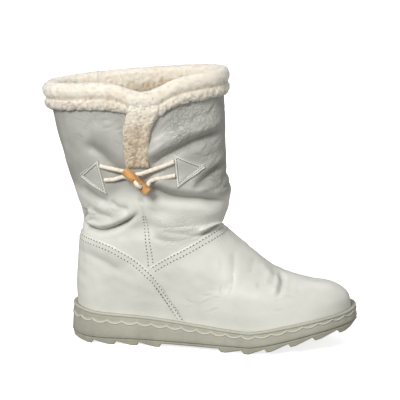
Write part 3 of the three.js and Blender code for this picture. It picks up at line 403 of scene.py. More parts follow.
def line_distance(line, x, z):
    """Signed distance from a broken line in the side view, and the share along it."""
    starts = lengths_along(line)
    best = np.full(x.shape, 1e9)
    signed, share = np.zeros(x.shape), np.zeros(x.shape)
    for (ax, az), (bx, bz), length, start in zip(line[:-1], line[1:], np.diff(starts), starts):
        ux, uz = (bx - ax) / length, (bz - az) / length
        t = np.clip((x - ax) * ux + (z - az) * uz, 0, length)
        dx, dz = x - ax - t * ux, z - az - t * uz
        distance = np.hypot(dx, dz)
        nearer = distance < best
        best = np.where(nearer, distance, best)
        signed = np.where(nearer, np.where(ux * dz - uz * dx > 0, distance, -distance), signed)
        share = np.where(nearer, (start + t) / starts[-1], share)
    return signed, share


def smooth_line(line, count=24):
    """A broken line's points joined by a curve."""
    steps = lengths_along(line)
    table = np.column_stack([steps, line])
    at = np.linspace(0, steps[-1], count)
    return np.column_stack([follow(table, 1, at), follow(table, 2, at)])


def small_creases():
    """Short fine wrinkles: side, depth, width and ends, scattered where the leather is worn."""
    source = np.random.default_rng(21)
    regions = [
        # side, x range, z range, slope in degrees, spread, length, depth, how many
        (-1, (100, 150), (200, 246), 38, 14, (10, 24), (0.12, 0.35), 40),
        (-1, (128, 156), (150, 200), 35, 22, (7, 18), (0.1, 0.3), 22),
        (-1, (10, 60), (196, 228), 10, 25, (7, 16), (0.1, 0.25), 14),
        (-1, (20, 60), (128, 150), -20, 25, (6, 14), (0.08, 0.2), 8),
        (-1, (88, 135), (108, 124), 6, 10, (12, 26), (0.08, 0.2), 8),
        (1, (100, 150), (190, 240), 35, 20, (8, 20), (0.2, 0.5), 26),
        (1, (14, 60), (150, 225), -15, 30, (8, 18), (0.12, 0.3), 22),
        (1, (90, 150), (112, 145), 5, 16, (8, 20), (0.15, 0.35), 18),
        (-1, (150, 225), (55, 98), 95, 18, (6, 16), (0.06, 0.2), 14),
        (1, (150, 225), (55, 98), 95, 18, (6, 16), (0.12, 0.32), 24),
        (-1, (100, 240), (40, 62), 5, 20, (8, 20), (0.04, 0.12), 12),
        (1, (100, 240), (40, 62), 5, 20, (8, 20), (0.06, 0.16), 18),
    ]
    found = []
    for side, xs, zs, slope, spread, lengths, depths, count in regions:
        for _ in range(count):
            x, z = source.uniform(*xs), source.uniform(*zs)
            turn = radians(slope + source.normal() * spread)
            half = source.uniform(*lengths) / 2
            bend = source.uniform(-0.2, 0.2) * half
            dx, dz = cos(turn), sin(turn)
            middle = (x - dz * bend, z + dx * bend)
            line = [(x - dx * half, z - dz * half), middle, (x + dx * half, z + dz * half)]
            found.append((side, 1.9 * source.uniform(*depths), source.uniform(0.8, 1.3), line))
    return found


SMALL_CREASES = small_creases()


def near_line(points, side, line, reach):
    """Which points lie close to a line in the side view, on its side of the boot."""
    x, y, z = np.moveaxis(points, -1, 0)
    low, high = np.min(line, 0) - reach, np.max(line, 0) + reach
    near = (x > low[0]) & (x < high[0]) & (z > low[1]) & (z < high[1])
    return near & (y * side > 0) if side else near


def relief(points):
    """How far the leather stands off its plain form, and the painted shade in its creases, from 0 to 1,
    darker the deeper the crease.
    """
    x, y, z = np.moveaxis(points, -1, 0)
    lift, shade = np.zeros(x.shape), np.zeros(x.shape)
    apart = np.clip(np.abs(y) / SIDES_MEET, 0, 1)
    for side, depth, width, sharp, above, below, ends, line in FOLDS:
        curve = smooth_line(line)
        near = near_line(points, side, curve, 5 * width)
        if not near.any():
            continue
        signed, share = line_distance(curve, x[near], z[near])
        if curve[-1, 0] < curve[0, 0]:
            signed = -signed
        fade = smooth(1.0, 0.8, share)
        if ends != "start":
            fade = fade * smooth(0, 0.2, share)
        if side:
            fade = fade * apart[near]
        trough = np.exp(-(np.abs(signed) / width) ** sharp)
        ridges = above * hump(signed, 2.2 * width, 1.5 * width)
        ridges = ridges + below * hump(signed, -2.2 * width, 1.5 * width)
        lift[near] += fade * (ridges - depth * trough)
        # painted shade along the fold's trough
        dark = fade * min(1, depth / 3) * np.exp(-(np.abs(signed) / (0.55 * width)) ** 1.5)
        shade[near] = np.maximum(shade[near], dark)
    for side, depth, width, line in SMALL_CREASES:
        near = near_line(points, side, line, 4 * width)
        if not near.any():
            continue
        signed, share = line_distance(line, x[near], z[near])
        fade = np.sin(pi * share) * apart[near]
        trough = np.exp(-(np.abs(signed) / width) ** 1.4)
        ridge = 0.35 * (hump(signed, 1.8 * width, 1.2 * width) + hump(signed, -1.8 * width, 1.2 * width))
        lift[near] += depth * fade * (ridge - trough)
        # painted shade in the small creases
        shade[near] = np.maximum(shade[near], 0.5 * fade * min(1, depth / 0.5) * trough)
    soft = 0.35 * waves(points, 34, 3) + 0.16 * waves(points, 13, 4)
    return lift + soft * smooth(30, 60, z), shade


def surface(angle, up, lift=0.0):
    """The leather's face with its folds, its normals, and the painted shade in its creases."""
    plain = upper_point(angle, up)
    normal = upper_normal(angle, up)
    rise, shade = relief(plain)
    return plain + normal * (rise + lift)[..., None], normal, shade


def up_to(height, angle, drop=0.0, low=0.0, high=2.0):
    """How far up each column meets a line in the side view, given as heights over x, less a drop."""
    low, high = np.full(angle.shape, float(low)), np.full(angle.shape, float(high))
    for _ in range(26):
        middle = (low + high) / 2
        point = upper_point(angle, middle)
        under = point[..., 2] < height(point[..., 0]) - drop
        low, high = np.where(under, middle, low), np.where(under, high, middle)
    return (low + high) / 2


def counter_height(x):
    return follow(COUNTER_EDGE, 1, x)


def vamp_height(x):
    return follow(VAMP_EDGE, 1, x)


def leg_height(x):
    return np.where(x < VAMP_EDGE[0, 0], counter_height(x), vamp_height(x))


def squared(height, distance):
    """A line moved down by a distance measured square to it."""
    def moved(x):
        slope = (height(x + 1) - height(x - 1)) / 2
        return height(x) - distance * np.sqrt(1 + slope**2)

    return moved


def locate(x, z, side=-1):
    """Angle and height on the upper of places in the side view."""
    x, z = np.atleast_1d(x).astype(float), np.atleast_1d(z).astype(float)
    angles, ups = np.meshgrid(np.linspace(0.02, pi - 0.02, 90), np.linspace(0, 2, 120), indexing="ij")
    angles, ups = angles.ravel(), ups.ravel()
    sign = 1 if side < 0 else -1
    known = upper_point(sign * angles, ups)
    nearest = [int(np.argmin((known[:, 0] - a) ** 2 + (known[:, 2] - b) ** 2)) for a, b in zip(x, z)]
    angle, up = angles[nearest].copy(), ups[nearest].copy()
    for _ in range(8):
        step = 1e-3
        here = upper_point(sign * angle, up)[..., ::2]
        by_angle = (upper_point(sign * (angle + step), up)[..., ::2] - here) / step
        by_up = (upper_point(sign * angle, up + step)[..., ::2] - here) / step
        miss = np.column_stack([x, z]) - here
        det = by_angle[:, 0] * by_up[:, 1] - by_angle[:, 1] * by_up[:, 0]
        det = np.where(np.abs(det) < 1e-6, 1e-6, det)
        angle = angle + np.clip((miss[:, 0] * by_up[:, 1] - miss[:, 1] * by_up[:, 0]) / det, -0.1, 0.1)
        up = up + np.clip((miss[:, 1] * by_angle[:, 0] - miss[:, 0] * by_angle[:, 1]) / det, -0.1, 0.1)
        angle, up = np.clip(angle, 0.001, pi - 0.001), np.clip(up, 0, 1.999)
    return sign * angle, up


# Meshes

def link(name, data):
    made = bpy.data.objects.new(name, data)
    bpy.context.scene.collection.objects.link(made)
    return made


def make_object(name, points, faces, material, **attributes):
    """A smooth mesh from points in millimetres; its attributes are one number a point."""
    groups = faces if isinstance(faces, list) else [faces]
    corners = np.concatenate([group.ravel() for group in groups]).astype(np.int32)
    sizes = np.concatenate([np.full(len(group), group.shape[1]) for group in groups])
    mesh = bpy.data.meshes.new(name)
    mesh.vertices.add(len(points))
    mesh.vertices.foreach_set("co", ((points - ORIGIN) / 1000).astype(np.float32).ravel())
    mesh.loops.add(len(corners))
    mesh.loops.foreach_set("vertex_index", corners)
    mesh.polygons.add(len(sizes))
    mesh.polygons.foreach_set("loop_start", (np.cumsum(sizes) - sizes).astype(np.int32))
    for key, values in attributes.items():
        layer = mesh.attributes.new(key, "FLOAT", "POINT")
        values = np.broadcast_to(values, len(points)) if np.ndim(values) == 0 else values
        layer.data.foreach_set("value", np.asarray(values, np.float32).ravel())
    mesh.update(calc_edges=True)
    mesh.validate()
    mesh.shade_smooth()
    mesh.materials.append(material)
    made = link(name, mesh)
    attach(made, "root")
    return made


def grid_faces(rows, columns, closed=False, keep=None, closed_rows=False):
    """Four-cornered faces of a grid of points, row by row."""
    i, j = np.mgrid[: rows if closed_rows else rows - 1, : columns if closed else columns - 1]
    a, b = i * columns + j, i * columns + (j + 1) % columns
    above = ((i + 1) % rows - i) * columns
    faces = np.stack([a, b, b + above, a + above], -1)
    return faces[keep] if keep is not None else faces.reshape(-1, 4)


def tube_ends(rings, sides):
    """The faces that close the two ends of a tube."""
    return np.array([np.arange(sides)[::-1], np.arange(sides) + (rings - 1) * sides])


def repeated(points, ends):
    """Many small tubes as one mesh, from points by copy, ring and side, with the given ends closed."""
    count, rings, sides = points.shape[:3]
    offsets = (np.arange(count) * rings * sides)[:, None, None]
    quads = (grid_faces(rings, sides, True)[None] + offsets).reshape(-1, 4)
    caps = (tube_ends(rings, sides)[None, ends] + offsets).reshape(-1, sides)
    return points.reshape(-1, 3), [quads, caps]


def ring_angles(sides):
    return np.linspace(0, 2 * pi, sides, endpoint=False)


def flat(grid):
    return grid.reshape(-1, grid.shape[-1])


def grid_normals(grid, closed=False):
    """Normals of a grid of points, right-handed from columns to rows."""
    def step(axis):
        if closed:
            return np.roll(grid, -1, axis) - np.roll(grid, 1, axis)
        return np.gradient(grid, axis=axis)

    return unit(np.cross(step(1), step(0)))


# Materials

def srgb(*values):
    values = np.array(values) / 255
    linear = np.where(values <= 0.04045, values / 12.92, ((values + 0.055) / 1.055) ** 2.4)
    return (*[float(v) for v in linear], 1.0)


class Nodes:
    """A material's nodes, with short calls for the ones used here."""

    def __init__(self, name, **sockets):
        self.material = bpy.data.materials.new(name)
        self.material.use_nodes = True
        self.tree = self.material.node_tree
        self.shader = self.tree.nodes["Principled BSDF"]
        self.shade(**sockets)
        self.place = self.add("TexCoord", "Object", {})

    def fill(self, node, sockets):
        """Sets a node's sockets to numbers, or links them to other nodes' outputs."""
        for key, value in sockets.items():
            if isinstance(value, bpy.types.NodeSocket):
                self.tree.links.new(value, node.inputs[key])
            else:
                node.inputs[key].default_value = value

    def shade(self, **sockets):
        self.fill(self.shader, {key.replace("_", " "): value for key, value in sockets.items()})

    def add(self, kind, output, sockets, **settings):
        node = self.tree.nodes.new("ShaderNode" + kind)
        for key, value in settings.items():
            setattr(node, key, value)
        self.fill(node, sockets)
        return node.outputs[output]

    def noise(self, scale, detail=3.0, rough=0.55, stretch=None):
        place = self.place
        if stretch is not None:
            place = self.add("Mapping", "Vector", {"Vector": place, "Scale": stretch})
        sockets = {"Vector": place, "Scale": scale, "Detail": detail, "Roughness": rough}
        return self.add("TexNoise", "Fac", sockets)

    def attribute(self, name):
        return self.add("Attribute", "Fac", {}, attribute_name=name)

    def times(self, a, b):
        return self.add("Math", 0, {0: a, 1: b}, operation="MULTIPLY")

    def spread(self, value, low, high, new_low=0.0, new_high=1.0):
        sockets = {"Value": value, "From Min": low, "From Max": high, "To Min": new_low, "To Max": new_high}
        return self.add("MapRange", "Result", sockets)

    def blend(self, factor, a, b):
        return self.add("Mix", 2, {"Factor": factor, 6: a, 7: b}, data_type="RGBA")

    def bump(self, *layers):
        """Bump layers of (height, strength, distance in metres)."""
        last = {}
        for height, strength, distance in layers:
            sockets = {"Height": height, "Strength": strength, "Distance": distance, **last}
            last = {"Normal": self.add("Bump", "Normal", sockets)}
        self.fill(self.shader, last)


def leather_material():
    """Smooth leather; "grey" turns it to the leg's darker tone, partly greyer leather and partly painted
    shade, and its low values along the tabs' edges give a painted highlight; "crease" darkens it as painted
    shade, and "worn" brings out its crackle.
    """
    m = Nodes("leather", Specular_IOR_Level=0.42, Coat_Weight=0.12, Coat_Roughness=0.38)
    clouds = m.spread(m.noise(26, 4), 0.3, 0.7)
    foot = m.blend(clouds, srgb(209, 209, 200), srgb(222, 221, 212))
    # the leg's darker tones: partly greyer leather, partly painted shade
    leg = m.blend(clouds, srgb(160, 159, 151), srgb(180, 179, 171))
    tone = m.blend(m.attribute("grey"), foot, leg)
    scuffs = m.spread(m.noise(160, 5, 0.7, (0.4, 1, 1)), 0.6, 0.75)
    tone = m.blend(m.times(scuffs, 0.22), tone, srgb(192, 191, 181))
    warp = m.add("TexNoise", "Color", {"Vector": m.place, "Scale": 130, "Detail": 3})
    warp = m.add("VectorMath", "Vector", {0: warp, "Scale": 0.009}, operation="SCALE")
    warped = m.add("VectorMath", "Vector", {0: m.place, 1: warp}, operation="ADD")
    along = {"Vector": warped, "Rotation": (0, radians(-38), 0), "Scale": (2.2, 1, 0.85)}
    turned = m.add("Mapping", "Vector", along, vector_type="TEXTURE")
    cracks = m.add("TexVoronoi", "Distance", {"Vector": turned, "Scale": 270}, feature="DISTANCE_TO_EDGE")
    plates = m.times(m.spread(cracks, 0, 0.12), m.attribute("worn"))
    pores = m.add("TexVoronoi", "Distance", {"Vector": m.place, "Scale": 950})
    # the crease attribute darkens the colour as painted shade
    m.shade(
        Base_Color=m.blend(m.times(m.attribute("crease"), 0.7), tone, srgb(128, 126, 116)),
        Roughness=m.spread(m.noise(60, 4), 0.3, 0.7, 0.36, 0.52),
    )
    m.bump(
        (plates, 0.8, 0.0008), (pores, 0.16, 0.0003), (m.noise(420, 4, 0.6), 0.14, 0.0004),
        (m.noise(110, 4, 0.6, (0.6, 1, 1)), 0.16, 0.0012),
    )
    return m.material


def fur_material():
    """Soft pile; "tip" runs from its roots to its tips and from the hollows to the tops of its curls, darker
    low down as painted shade; "deep" turns it to a darker beige, painted shade in crevices and inside the
    boot, and partly the facing's own beige.
    """
    m = Nodes(
        "shearling", Roughness=0.95, Specular_IOR_Level=0.08, Sheen_Weight=0.2, Sheen_Roughness=0.6,
        Sheen_Tint=srgb(255, 244, 226), Subsurface_Weight=1.0, Subsurface_Radius=(1.0, 0.85, 0.7),
        Subsurface_Scale=0.004,
    )
    # painted shade: darker at the roots and between the curls
    height = m.add("Math", 0, {0: m.attribute("tip"), 1: m.spread(m.noise(220, 3), 0.3, 0.7, -0.15, 0.15)})
    pale = m.blend(height, srgb(226, 217, 201), srgb(236, 230, 217))
    # the darker beige: painted shade in crevices and inside the boot, and partly the facing's own beige
    beige = m.blend(height, srgb(181, 161, 133), srgb(214, 202, 183))
    m.shade(Base_Color=m.blend(m.attribute("deep"), pale, beige))
    m.bump((m.noise(900, 3, 0.6), 0.22, 0.0006), (m.noise(380, 3, 0.6), 0.22, 0.001))
    return m.material


def rubber_material(name, light, dark):
    """Matt pebbled rubber; "pale" marks its raised lines, lighter as a painted highlight."""
    m = Nodes(name, Specular_IOR_Level=0.3)
    tone = m.blend(m.spread(m.noise(45, 5, 0.65), 0.3, 0.7), dark, light)
    specks = m.spread(m.noise(700, 2), 0.62, 0.72)
    tone = m.blend(m.times(specks, 0.35), tone, srgb(140, 139, 122))
    # the raised lines are lightened as a painted highlight
    m.shade(
        Base_Color=m.blend(m.attribute("pale"), tone, srgb(206, 205, 190)),
        Roughness=m.spread(m.noise(80, 3), 0.3, 0.7, 0.6, 0.78),
    )
    m.bump((m.noise(620, 3, 0.7), 0.5, 0.0006), (m.noise(130, 3), 0.12, 0.001))
    return m.material


def thread_material(name, light, dark):
    m = Nodes(name, Roughness=0.85, Specular_IOR_Level=0.2)
    m.shade(Base_Color=m.blend(m.spread(m.noise(300, 3), 0.3, 0.7), dark, light))
    m.bump((m.noise(1500, 3), 0.4, 0.0004))
    return m.material


def wood_material():
    m = Nodes("toggle_wood", Specular_IOR_Level=0.45, Coat_Weight=0.25, Coat_Roughness=0.3)
    grain = m.noise(420, 5, 0.6, (0.25, 1, 0.25))
    tone = m.blend(m.spread(grain, 0.35, 0.65), srgb(176, 118, 62), srgb(214, 162, 100))
    # lighter patches spread at random are painted highlights
    m.shade(
        Base_Color=m.blend(m.spread(m.noise(120, 3), 0.55, 0.8), tone, srgb(228, 190, 138)),
        Roughness=m.spread(grain, 0.3, 0.7, 0.34, 0.5),
    )
    m.bump((grain, 0.18, 0.0005))
    return m.material


leather = leather_material()
fur = fur_material()
rubber = rubber_material("side_rubber", srgb(176, 174, 159), srgb(160, 158, 143))
tread_rubber = rubber_material("tread_rubber", srgb(168, 166, 150), srgb(150, 148, 132))
thread = thread_material("thread", srgb(234, 233, 224), srgb(212, 210, 198))
cord_cotton = thread_material("cord_cotton", srgb(243, 236, 224), srgb(222, 208, 190))
wood = wood_material()
# dark beads painted as the shade in the stitch holes
hole_shade = thread_material("stitch_hole_shade", srgb(112, 110, 100), srgb(88, 86, 78))


# Leather pieces

def leg_grey_and_shade(points):
    """The leg is darker than the foot from the folds above the ankle up, partly a greyer leather and partly
    painted shade of the upright leg.
    """
    return smooth(143, 160, points[..., 2] + 5 * waves(points, 45, 61))


def wear(points):
    """Where the leather is crackled: high on the leg's front, and round the folds below it."""
    x, _, z = np.moveaxis(points, -1, 0)
    high = smooth(92, 112, x) * smooth(186, 204, z - 0.3 * (x - 120))
    low = 0.7 * smooth(126, 142, x) * smooth(140, 160, z) + 0.35 * smooth(60, 30, x) * smooth(200, 225, z)
    ankle = 0.35 * smooth(22, 14, np.abs(z - 118)) * smooth(84, 100, x)
    return np.clip(np.maximum(high, np.maximum(low, ankle)) * (0.75 + 0.35 * waves(points, 26, 62)), 0, 1)


def make_shaft():
    """The leg, from under the panels' edges up into the cuff, with the slit cut out."""
    angle = ring_angles(640)
    bottom = up_to(squared(leg_height, 4.5), angle)
    rows = 148
    up = mix(bottom[None], 1.97, np.linspace(0, 1, rows)[:, None])
    grid, _, shade = surface(angle[None] + 0 * up, up)
    slit_end = height_on_shaft(FACING[0, 0]) + 1
    middle = (grid[:-1] + np.roll(grid, -1, 1)[:-1] + grid[1:] + np.roll(grid, -1, 1)[1:]) / 4
    rise = np.clip((middle[..., 2] - slit_end) / (COLLAR_HEIGHT - slit_end), 0, 1)
    slit_middle = SLIT_X - SLIT_LEAN * (1 - rise)
    cut = np.abs(middle[..., 0] - slit_middle) < mix(0.5, SLIT_WIDTH / 2, rise)
    cut &= (middle[..., 2] > slit_end) & (middle[..., 1] < 0)
    faces = grid_faces(rows, len(angle), True, ~cut)
    # the leg's darker tone is partly painted shade
    grey, worn = leg_grey_and_shade(grid), wear(grid)
    made = make_object("leg_leather", flat(grid), faces, leather, crease=shade, grey=grey, worn=worn)
    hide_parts("upper")


def make_panel(name, start, end, columns, height, thickness, rows):
    """A panel of the foot from the sole up to its seam, where its edge turns in."""
    edge_distances = [5.0, 2.6, 1.4, 0.8, 0.4, 0.12, 0.0]
    edge_lifts = [1.0, 1.02, 0.98, 0.85, 0.6, 0.25, -0.5]
    angle = np.linspace(start, end, columns)
    tops = np.array([up_to(squared(height, distance), angle, high=1.3) for distance in edge_distances])
    up = np.vstack([tops[:1] * np.linspace(0, 1, rows)[:-1, None], tops])
    lift = np.concatenate([np.ones(rows - 1), edge_lifts]) * thickness
    grid, _, shade = surface(angle[None] + 0 * up, up, lift[:, None] + 0 * up)
    faces = grid_faces(len(up), columns)
    made = make_object(name, flat(grid), faces, leather, crease=shade, grey=0, worn=wear(grid))
    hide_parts("upper")


def seam_angle(line_x, height):
    """Angle of the column that meets a seam over a given x."""
    angle, _ = locate(line_x, height(np.atleast_1d(line_x)))
    return float(angle[0])


VAMP_START = seam_angle(VAMP_EDGE[0, 0] - 5, counter_height) - 0.16
COUNTER_END = seam_angle(119.5, counter_height)
VAMP_LIFT, COUNTER_LIFT = 0.7, 1.1
SEAM_ROWS = (1.7, 6.2)  # the stitch rows' distances from a panel's edge

make_shaft()
make_panel("vamp_leather", VAMP_START, 2 * pi - VAMP_START, 640, leg_height, VAMP_LIFT, 84)
make_panel("counter_leather", -COUNTER_END, COUNTER_END, 430, counter_height, COUNTER_LIFT, 70)


# Stitches: raised threads between small dark beads, painted shade of the holes

def along_line(points, normals, pitch):
    """Places, directions and normals spaced evenly along a line of points."""
    lengths = lengths_along(points)
    count = max(2, int(round(lengths[-1] / pitch)))
    at = (np.arange(count) + 0.5) * lengths[-1] / count

    def pick(values):
        return np.column_stack([np.interp(at, lengths, values[:, k]) for k in range(3)])

    place = pick(points)
    direction = unit(pick(np.gradient(points, axis=0)))
    normal = pick(normals)
    normal = unit(normal - direction * (normal * direction).sum(1, keepdims=True))
    return place, direction, normal


def bead_mesh(place, direction, normal, length, radius, height, sides=6, rings=5):
    """Rounded beads, each along its direction, as one mesh."""
    across = np.cross(direction, normal)
    turn = ring_angles(sides)
    lengthwise = np.linspace(-1, 1, rings)
    girth = np.sqrt(np.maximum(0.06, 1 - lengthwise**2))
    points = (
        place[:, None, None]
        + direction[:, None, None] * (lengthwise * length / 2)[None, :, None, None]
        + across[:, None, None] * (girth[:, None] * np.cos(turn) * radius)[None, :, :, None]
        + normal[:, None, None] * (girth[:, None] * np.sin(turn) * height)[None, :, :, None]
    )
    return repeated(points, [0, 1])


class Sewing:
    """Collects threads and the painted shade of the holes of every seam."""

    def __init__(self):
        self.threads, self.holes = [], []

    def row(self, points, normals, pitch=3.5, length=1.9, radius=0.5):
        place, direction, normal = along_line(points, normals, pitch)
        self.threads.append(bead_mesh(place + normal * 0.12, direction, normal, length, radius, 0.34))
        ends = place + direction * pitch / 2
        # dark beads at the holes, painted shade
        self.holes.append(bead_mesh(ends, direction, normal, 1.35, 0.66, 0.2))

    def build(self):
        kinds = (("stitches", self.threads, thread), ("stitch_hole_shade", self.holes, hole_shade))
        for name, groups, material in kinds:
            points = np.concatenate([p for p, _ in groups])
            starts = np.cumsum([0] + [len(p) for p, _ in groups[:-1]])
            faces = [np.concatenate([f[k] + s for (_, f), s in zip(groups, starts)]) for k in (0, 1)]
            make_object(name, points, faces, material)


sewing = Sewing()


def seam_rows(height, angle, lift):
    for distance in SEAM_ROWS:
        up = up_to(squared(height, distance), angle, high=1.3)
        points, normals, _ = surface(angle, up, np.full(angle.shape, lift))
        sewing.row(points, normals)


seam_rows(counter_height, np.linspace(-COUNTER_END + 0.01, COUNTER_END - 0.01, 900), COUNTER_LIFT)
FRONT_START = seam_angle(VAMP_EDGE[0, 0] + 2.5, vamp_height)
seam_rows(vamp_height, np.linspace(FRONT_START, 2 * pi - FRONT_START, 700), VAMP_LIFT)
for side, line in ((-1, SIDE_SEAM), (1, INNER_SEAM)):
    for shift in (-1, 1):
        curve = smooth_line(line, 60)
        apart = np.linspace(2.5, 1.4 if side < 0 else 2.5, len(curve))
        angle, up = locate(curve[:, 0] + shift * apart, curve[:, 1], side)
        points, normals, _ = surface(angle, up)
        sewing.row(points, normals, 3.4, 1.6, 0.45)


# Places over the shaft's outer side, measured from the toggle

def side_surface(x, z, lift):
    angle, up = locate(x, z)
    points, normals, _ = surface(angle, up, np.broadcast_to(np.asarray(lift, float), angle.shape))
    return points, normals


seat_z = height_on_shaft(TOGGLE_UP)
plain_seat = [upper_point(*locate(TOGGLE_X, seat_z))[0], upper_normal(*locate(TOGGLE_X, seat_z))[0]]
outward = plain_seat[1]
nose = np.array([cos(TOGGLE_TURN), 0, sin(TOGGLE_TURN)])
nose = unit(nose - outward * (nose @ outward))
downward = np.cross(nose, outward)
toggle_middle = plain_seat[0] + outward * TOGGLE_LIFT


def make_tab(name, corners, node):
    """A sewn tab with turned edges, and stitches just inside them."""
    top, foot, tip = (np.array(corners[key]) * TOGGLE_LENGTH for key in ("top", "foot", "tip"))
    share = share_of(np.linspace(0, pi, 56))

    def spot(along, across):
        blunt = tip + (foot - top) * TAB_TIP * (2 * across - 1)
        return mix(mix(top, foot, across), blunt, along)

    rows = np.concatenate([[0], share, [1]])
    spots = np.array([[spot(a, b) for b in rows] for a in rows])
    inward = np.full(spots.shape[:2], 1e9)
    for begin, end in ((top, foot), (foot, tip), (tip, top)):
        along = (end - begin) / np.linalg.norm(end - begin)
        off = spots - begin
        inward = np.minimum(inward, np.abs(along[0] * off[..., 1] - along[1] * off[..., 0]))
    rim = hump(inward, 0.8, 0.6)
    lifts = 1.9 + 0.45 * rim - 0.4 * hump(inward, 2.3, 0.7) - 0.8 * np.exp(-inward / 0.2)
    last = len(rows) - 1
    lifts[[0, last]] = lifts[:, [0, last]] = -0.6
    x, z = TOGGLE_X + spots[..., 0], seat_z + spots[..., 1]
    points, _ = side_surface(x.ravel(), z.ravel(), lifts.ravel())
    grid = points.reshape(len(rows), len(rows), 3)
    outer = grid_faces(len(rows), len(rows))
    if np.cross(foot - top, tip - top) < 0:
        outer = outer[:, ::-1]
    # lighter along the turned edges as a painted highlight, greyer inside
    grey = np.clip(0.8 - 0.8 * rim, 0, 1)
    made = make_object(name, flat(grid), outer, leather, crease=0, grey=grey, worn=0)
    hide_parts(node)
    middle = (top + foot + tip) / 3
    inner = [mix(middle, corner, 0.82) for corner in (top, tip, foot, top)]
    for begin, end in zip(inner[:-1], inner[1:]):
        line = mix(begin, end, np.linspace(0, 1, 30)[:, None])
        at, facing = side_surface(TOGGLE_X + line[:, 0], seat_z + line[:, 1], 1.95)
        sewing.row(at, facing, 2.3, 1.4, 0.34)


make_tab("tab_front_leather", TAB_FRONT, "tab_front")
make_tab("tab_rear_leather", TAB_REAR, "tab_rear")
sewing.build()


def spline(points, count):
    """Centripetal Catmull-Rom curve through the points."""
    points = np.array(points, float)
    padded = np.vstack([2 * points[0] - points[1], points, 2 * points[-1] - points[-2]])
    pieces = []
    each = max(2, count // (len(points) - 1))
    for k in range(len(points) - 1):
        p = padded[k : k + 4]
        t = np.concatenate([[0], np.cumsum(np.linalg.norm(np.diff(p, axis=0), axis=1) ** 0.5)])
        at = np.linspace(t[1], t[2], each, endpoint=k == len(points) - 2)[:, None]

        def between(ends, low, high):
            span = t[high] - t[low]
            return (t[high] - at) / span * ends[0] + (at - t[low]) / span * ends[1]

        a = [between(p[i : i + 2], i, i + 1) for i in range(3)]
        b = [between(a[i : i + 2], i, i + 2) for i in range(2)]
        pieces.append(between(b, 1, 2))
    return np.vstack(pieces)


def tube(path, radius, sides):
    """Rings of points round a path, with a frame that doesn't twist."""
    tangents = unit(np.gradient(path, axis=0))
    guide = np.cross(tangents[0], [0, 0, 1.0])
    rings = []
    turn = ring_angles(sides)[:, None]
    for point, tangent in zip(path, tangents):
        guide = unit(guide - tangent * (guide @ tangent))
        rings.append(point + radius * (np.cos(turn) * guide + np.sin(turn) * np.cross(tangent, guide)))
    return np.array(rings)


def make_cord(name, route, node):
    """A soft cotton cord: a tube with the slight lay of its twisted yarns."""
    points = []
    for carrier, places in route:
        for a, b, c in places:
            away = c * CORD_RADIUS
            if carrier == "leather":
                plain = locate(TOGGLE_X + a * TOGGLE_LENGTH, seat_z + b * TOGGLE_LENGTH)
                points.append((upper_point(*plain) + upper_normal(*plain) * away)[0])
            else:
                out = outward * cos(b) + downward * sin(b)
                points.append(toggle_middle + nose * a * TOGGLE_LENGTH + away * out)
    path = spline(points, 260)
    sides = 20
    rings = tube(path, CORD_RADIUS, sides)
    lay = 0.09 * np.cos(3 * ring_angles(sides) - lengths_along(path)[:, None] * 2 * pi / LAY_LENGTH)
    rings += (rings - path[:, None]) / CORD_RADIUS * lay[..., None]
    faces = [grid_faces(len(path), sides, True), tube_ends(len(path), sides)]
    made = make_object(name, flat(rings), faces, cord_cotton)
    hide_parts(node)


make_cord("cord_front_cotton", FRONT_CORD, "cord_front")
make_cord("cord_rear_cotton", REAR_CORD, "cord_rear")


def make_toggle():
    """The peg: a turned stick with rounded ends, slightly uneven, with its two cross holes cut through."""
    sides, corner, half = 40, 0.32 * TOGGLE_RADIUS, TOGGLE_LENGTH / 2
    ends = np.linspace(0, pi / 2, 6)
    from_end = np.concatenate([[0], corner * (1 - np.cos(ends))])
    body = np.linspace(-half + corner, half - corner, 26)[1:-1]
    length = np.concatenate([-half + from_end, body, half - from_end[::-1]])
    end_radius = np.concatenate([[0.5], TOGGLE_RADIUS - corner * (1 - np.sin(ends))])
    radius = np.concatenate([end_radius, np.full(len(body), TOGGLE_RADIUS), end_radius[::-1]])
    turn = ring_angles(sides)[None]
    uneven = 1 + 0.02 * np.cos(2 * turn + 1) + 0.012 * np.cos(3 * turn + length[:, None] / 4)
    r = radius[:, None] * uneven
    grid = (
        toggle_middle + nose * length[:, None, None]
        + outward * (r * np.cos(turn))[..., None] + downward * (r * np.sin(turn))[..., None]
    )
    faces = [grid_faces(len(length), sides, True), tube_ends(len(length), sides)]
    made = make_object("toggle_wood", flat(grid), faces, wood)
    cutters = []
    for place in TOGGLE_HOLES:
        path = toggle_middle + nose * place * TOGGLE_LENGTH + outward * np.linspace(-9, 9, 4)[:, None]
        drill = tube(path, CORD_RADIUS + HOLE_PLAY, 20)
        cutters.append(make_object("drill", flat(drill), [grid_faces(4, 20, True), tube_ends(4, 20)], wood))
        cut = made.modifiers.new("hole", "BOOLEAN")
        cut.object, cut.operation, cut.solver = cutters[-1], "DIFFERENCE", "EXACT"
    bpy.context.view_layer.update()
    finished = bpy.data.meshes.new_from_object(made.evaluated_get(bpy.context.evaluated_depsgraph_get()))
    made.modifiers.clear()
    made.data = finished
    made.data.name = "toggle_wood"
    for cutter in cutters:
        bpy.data.objects.remove(cutter)
    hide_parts("toggle")


make_toggle()


# Fur

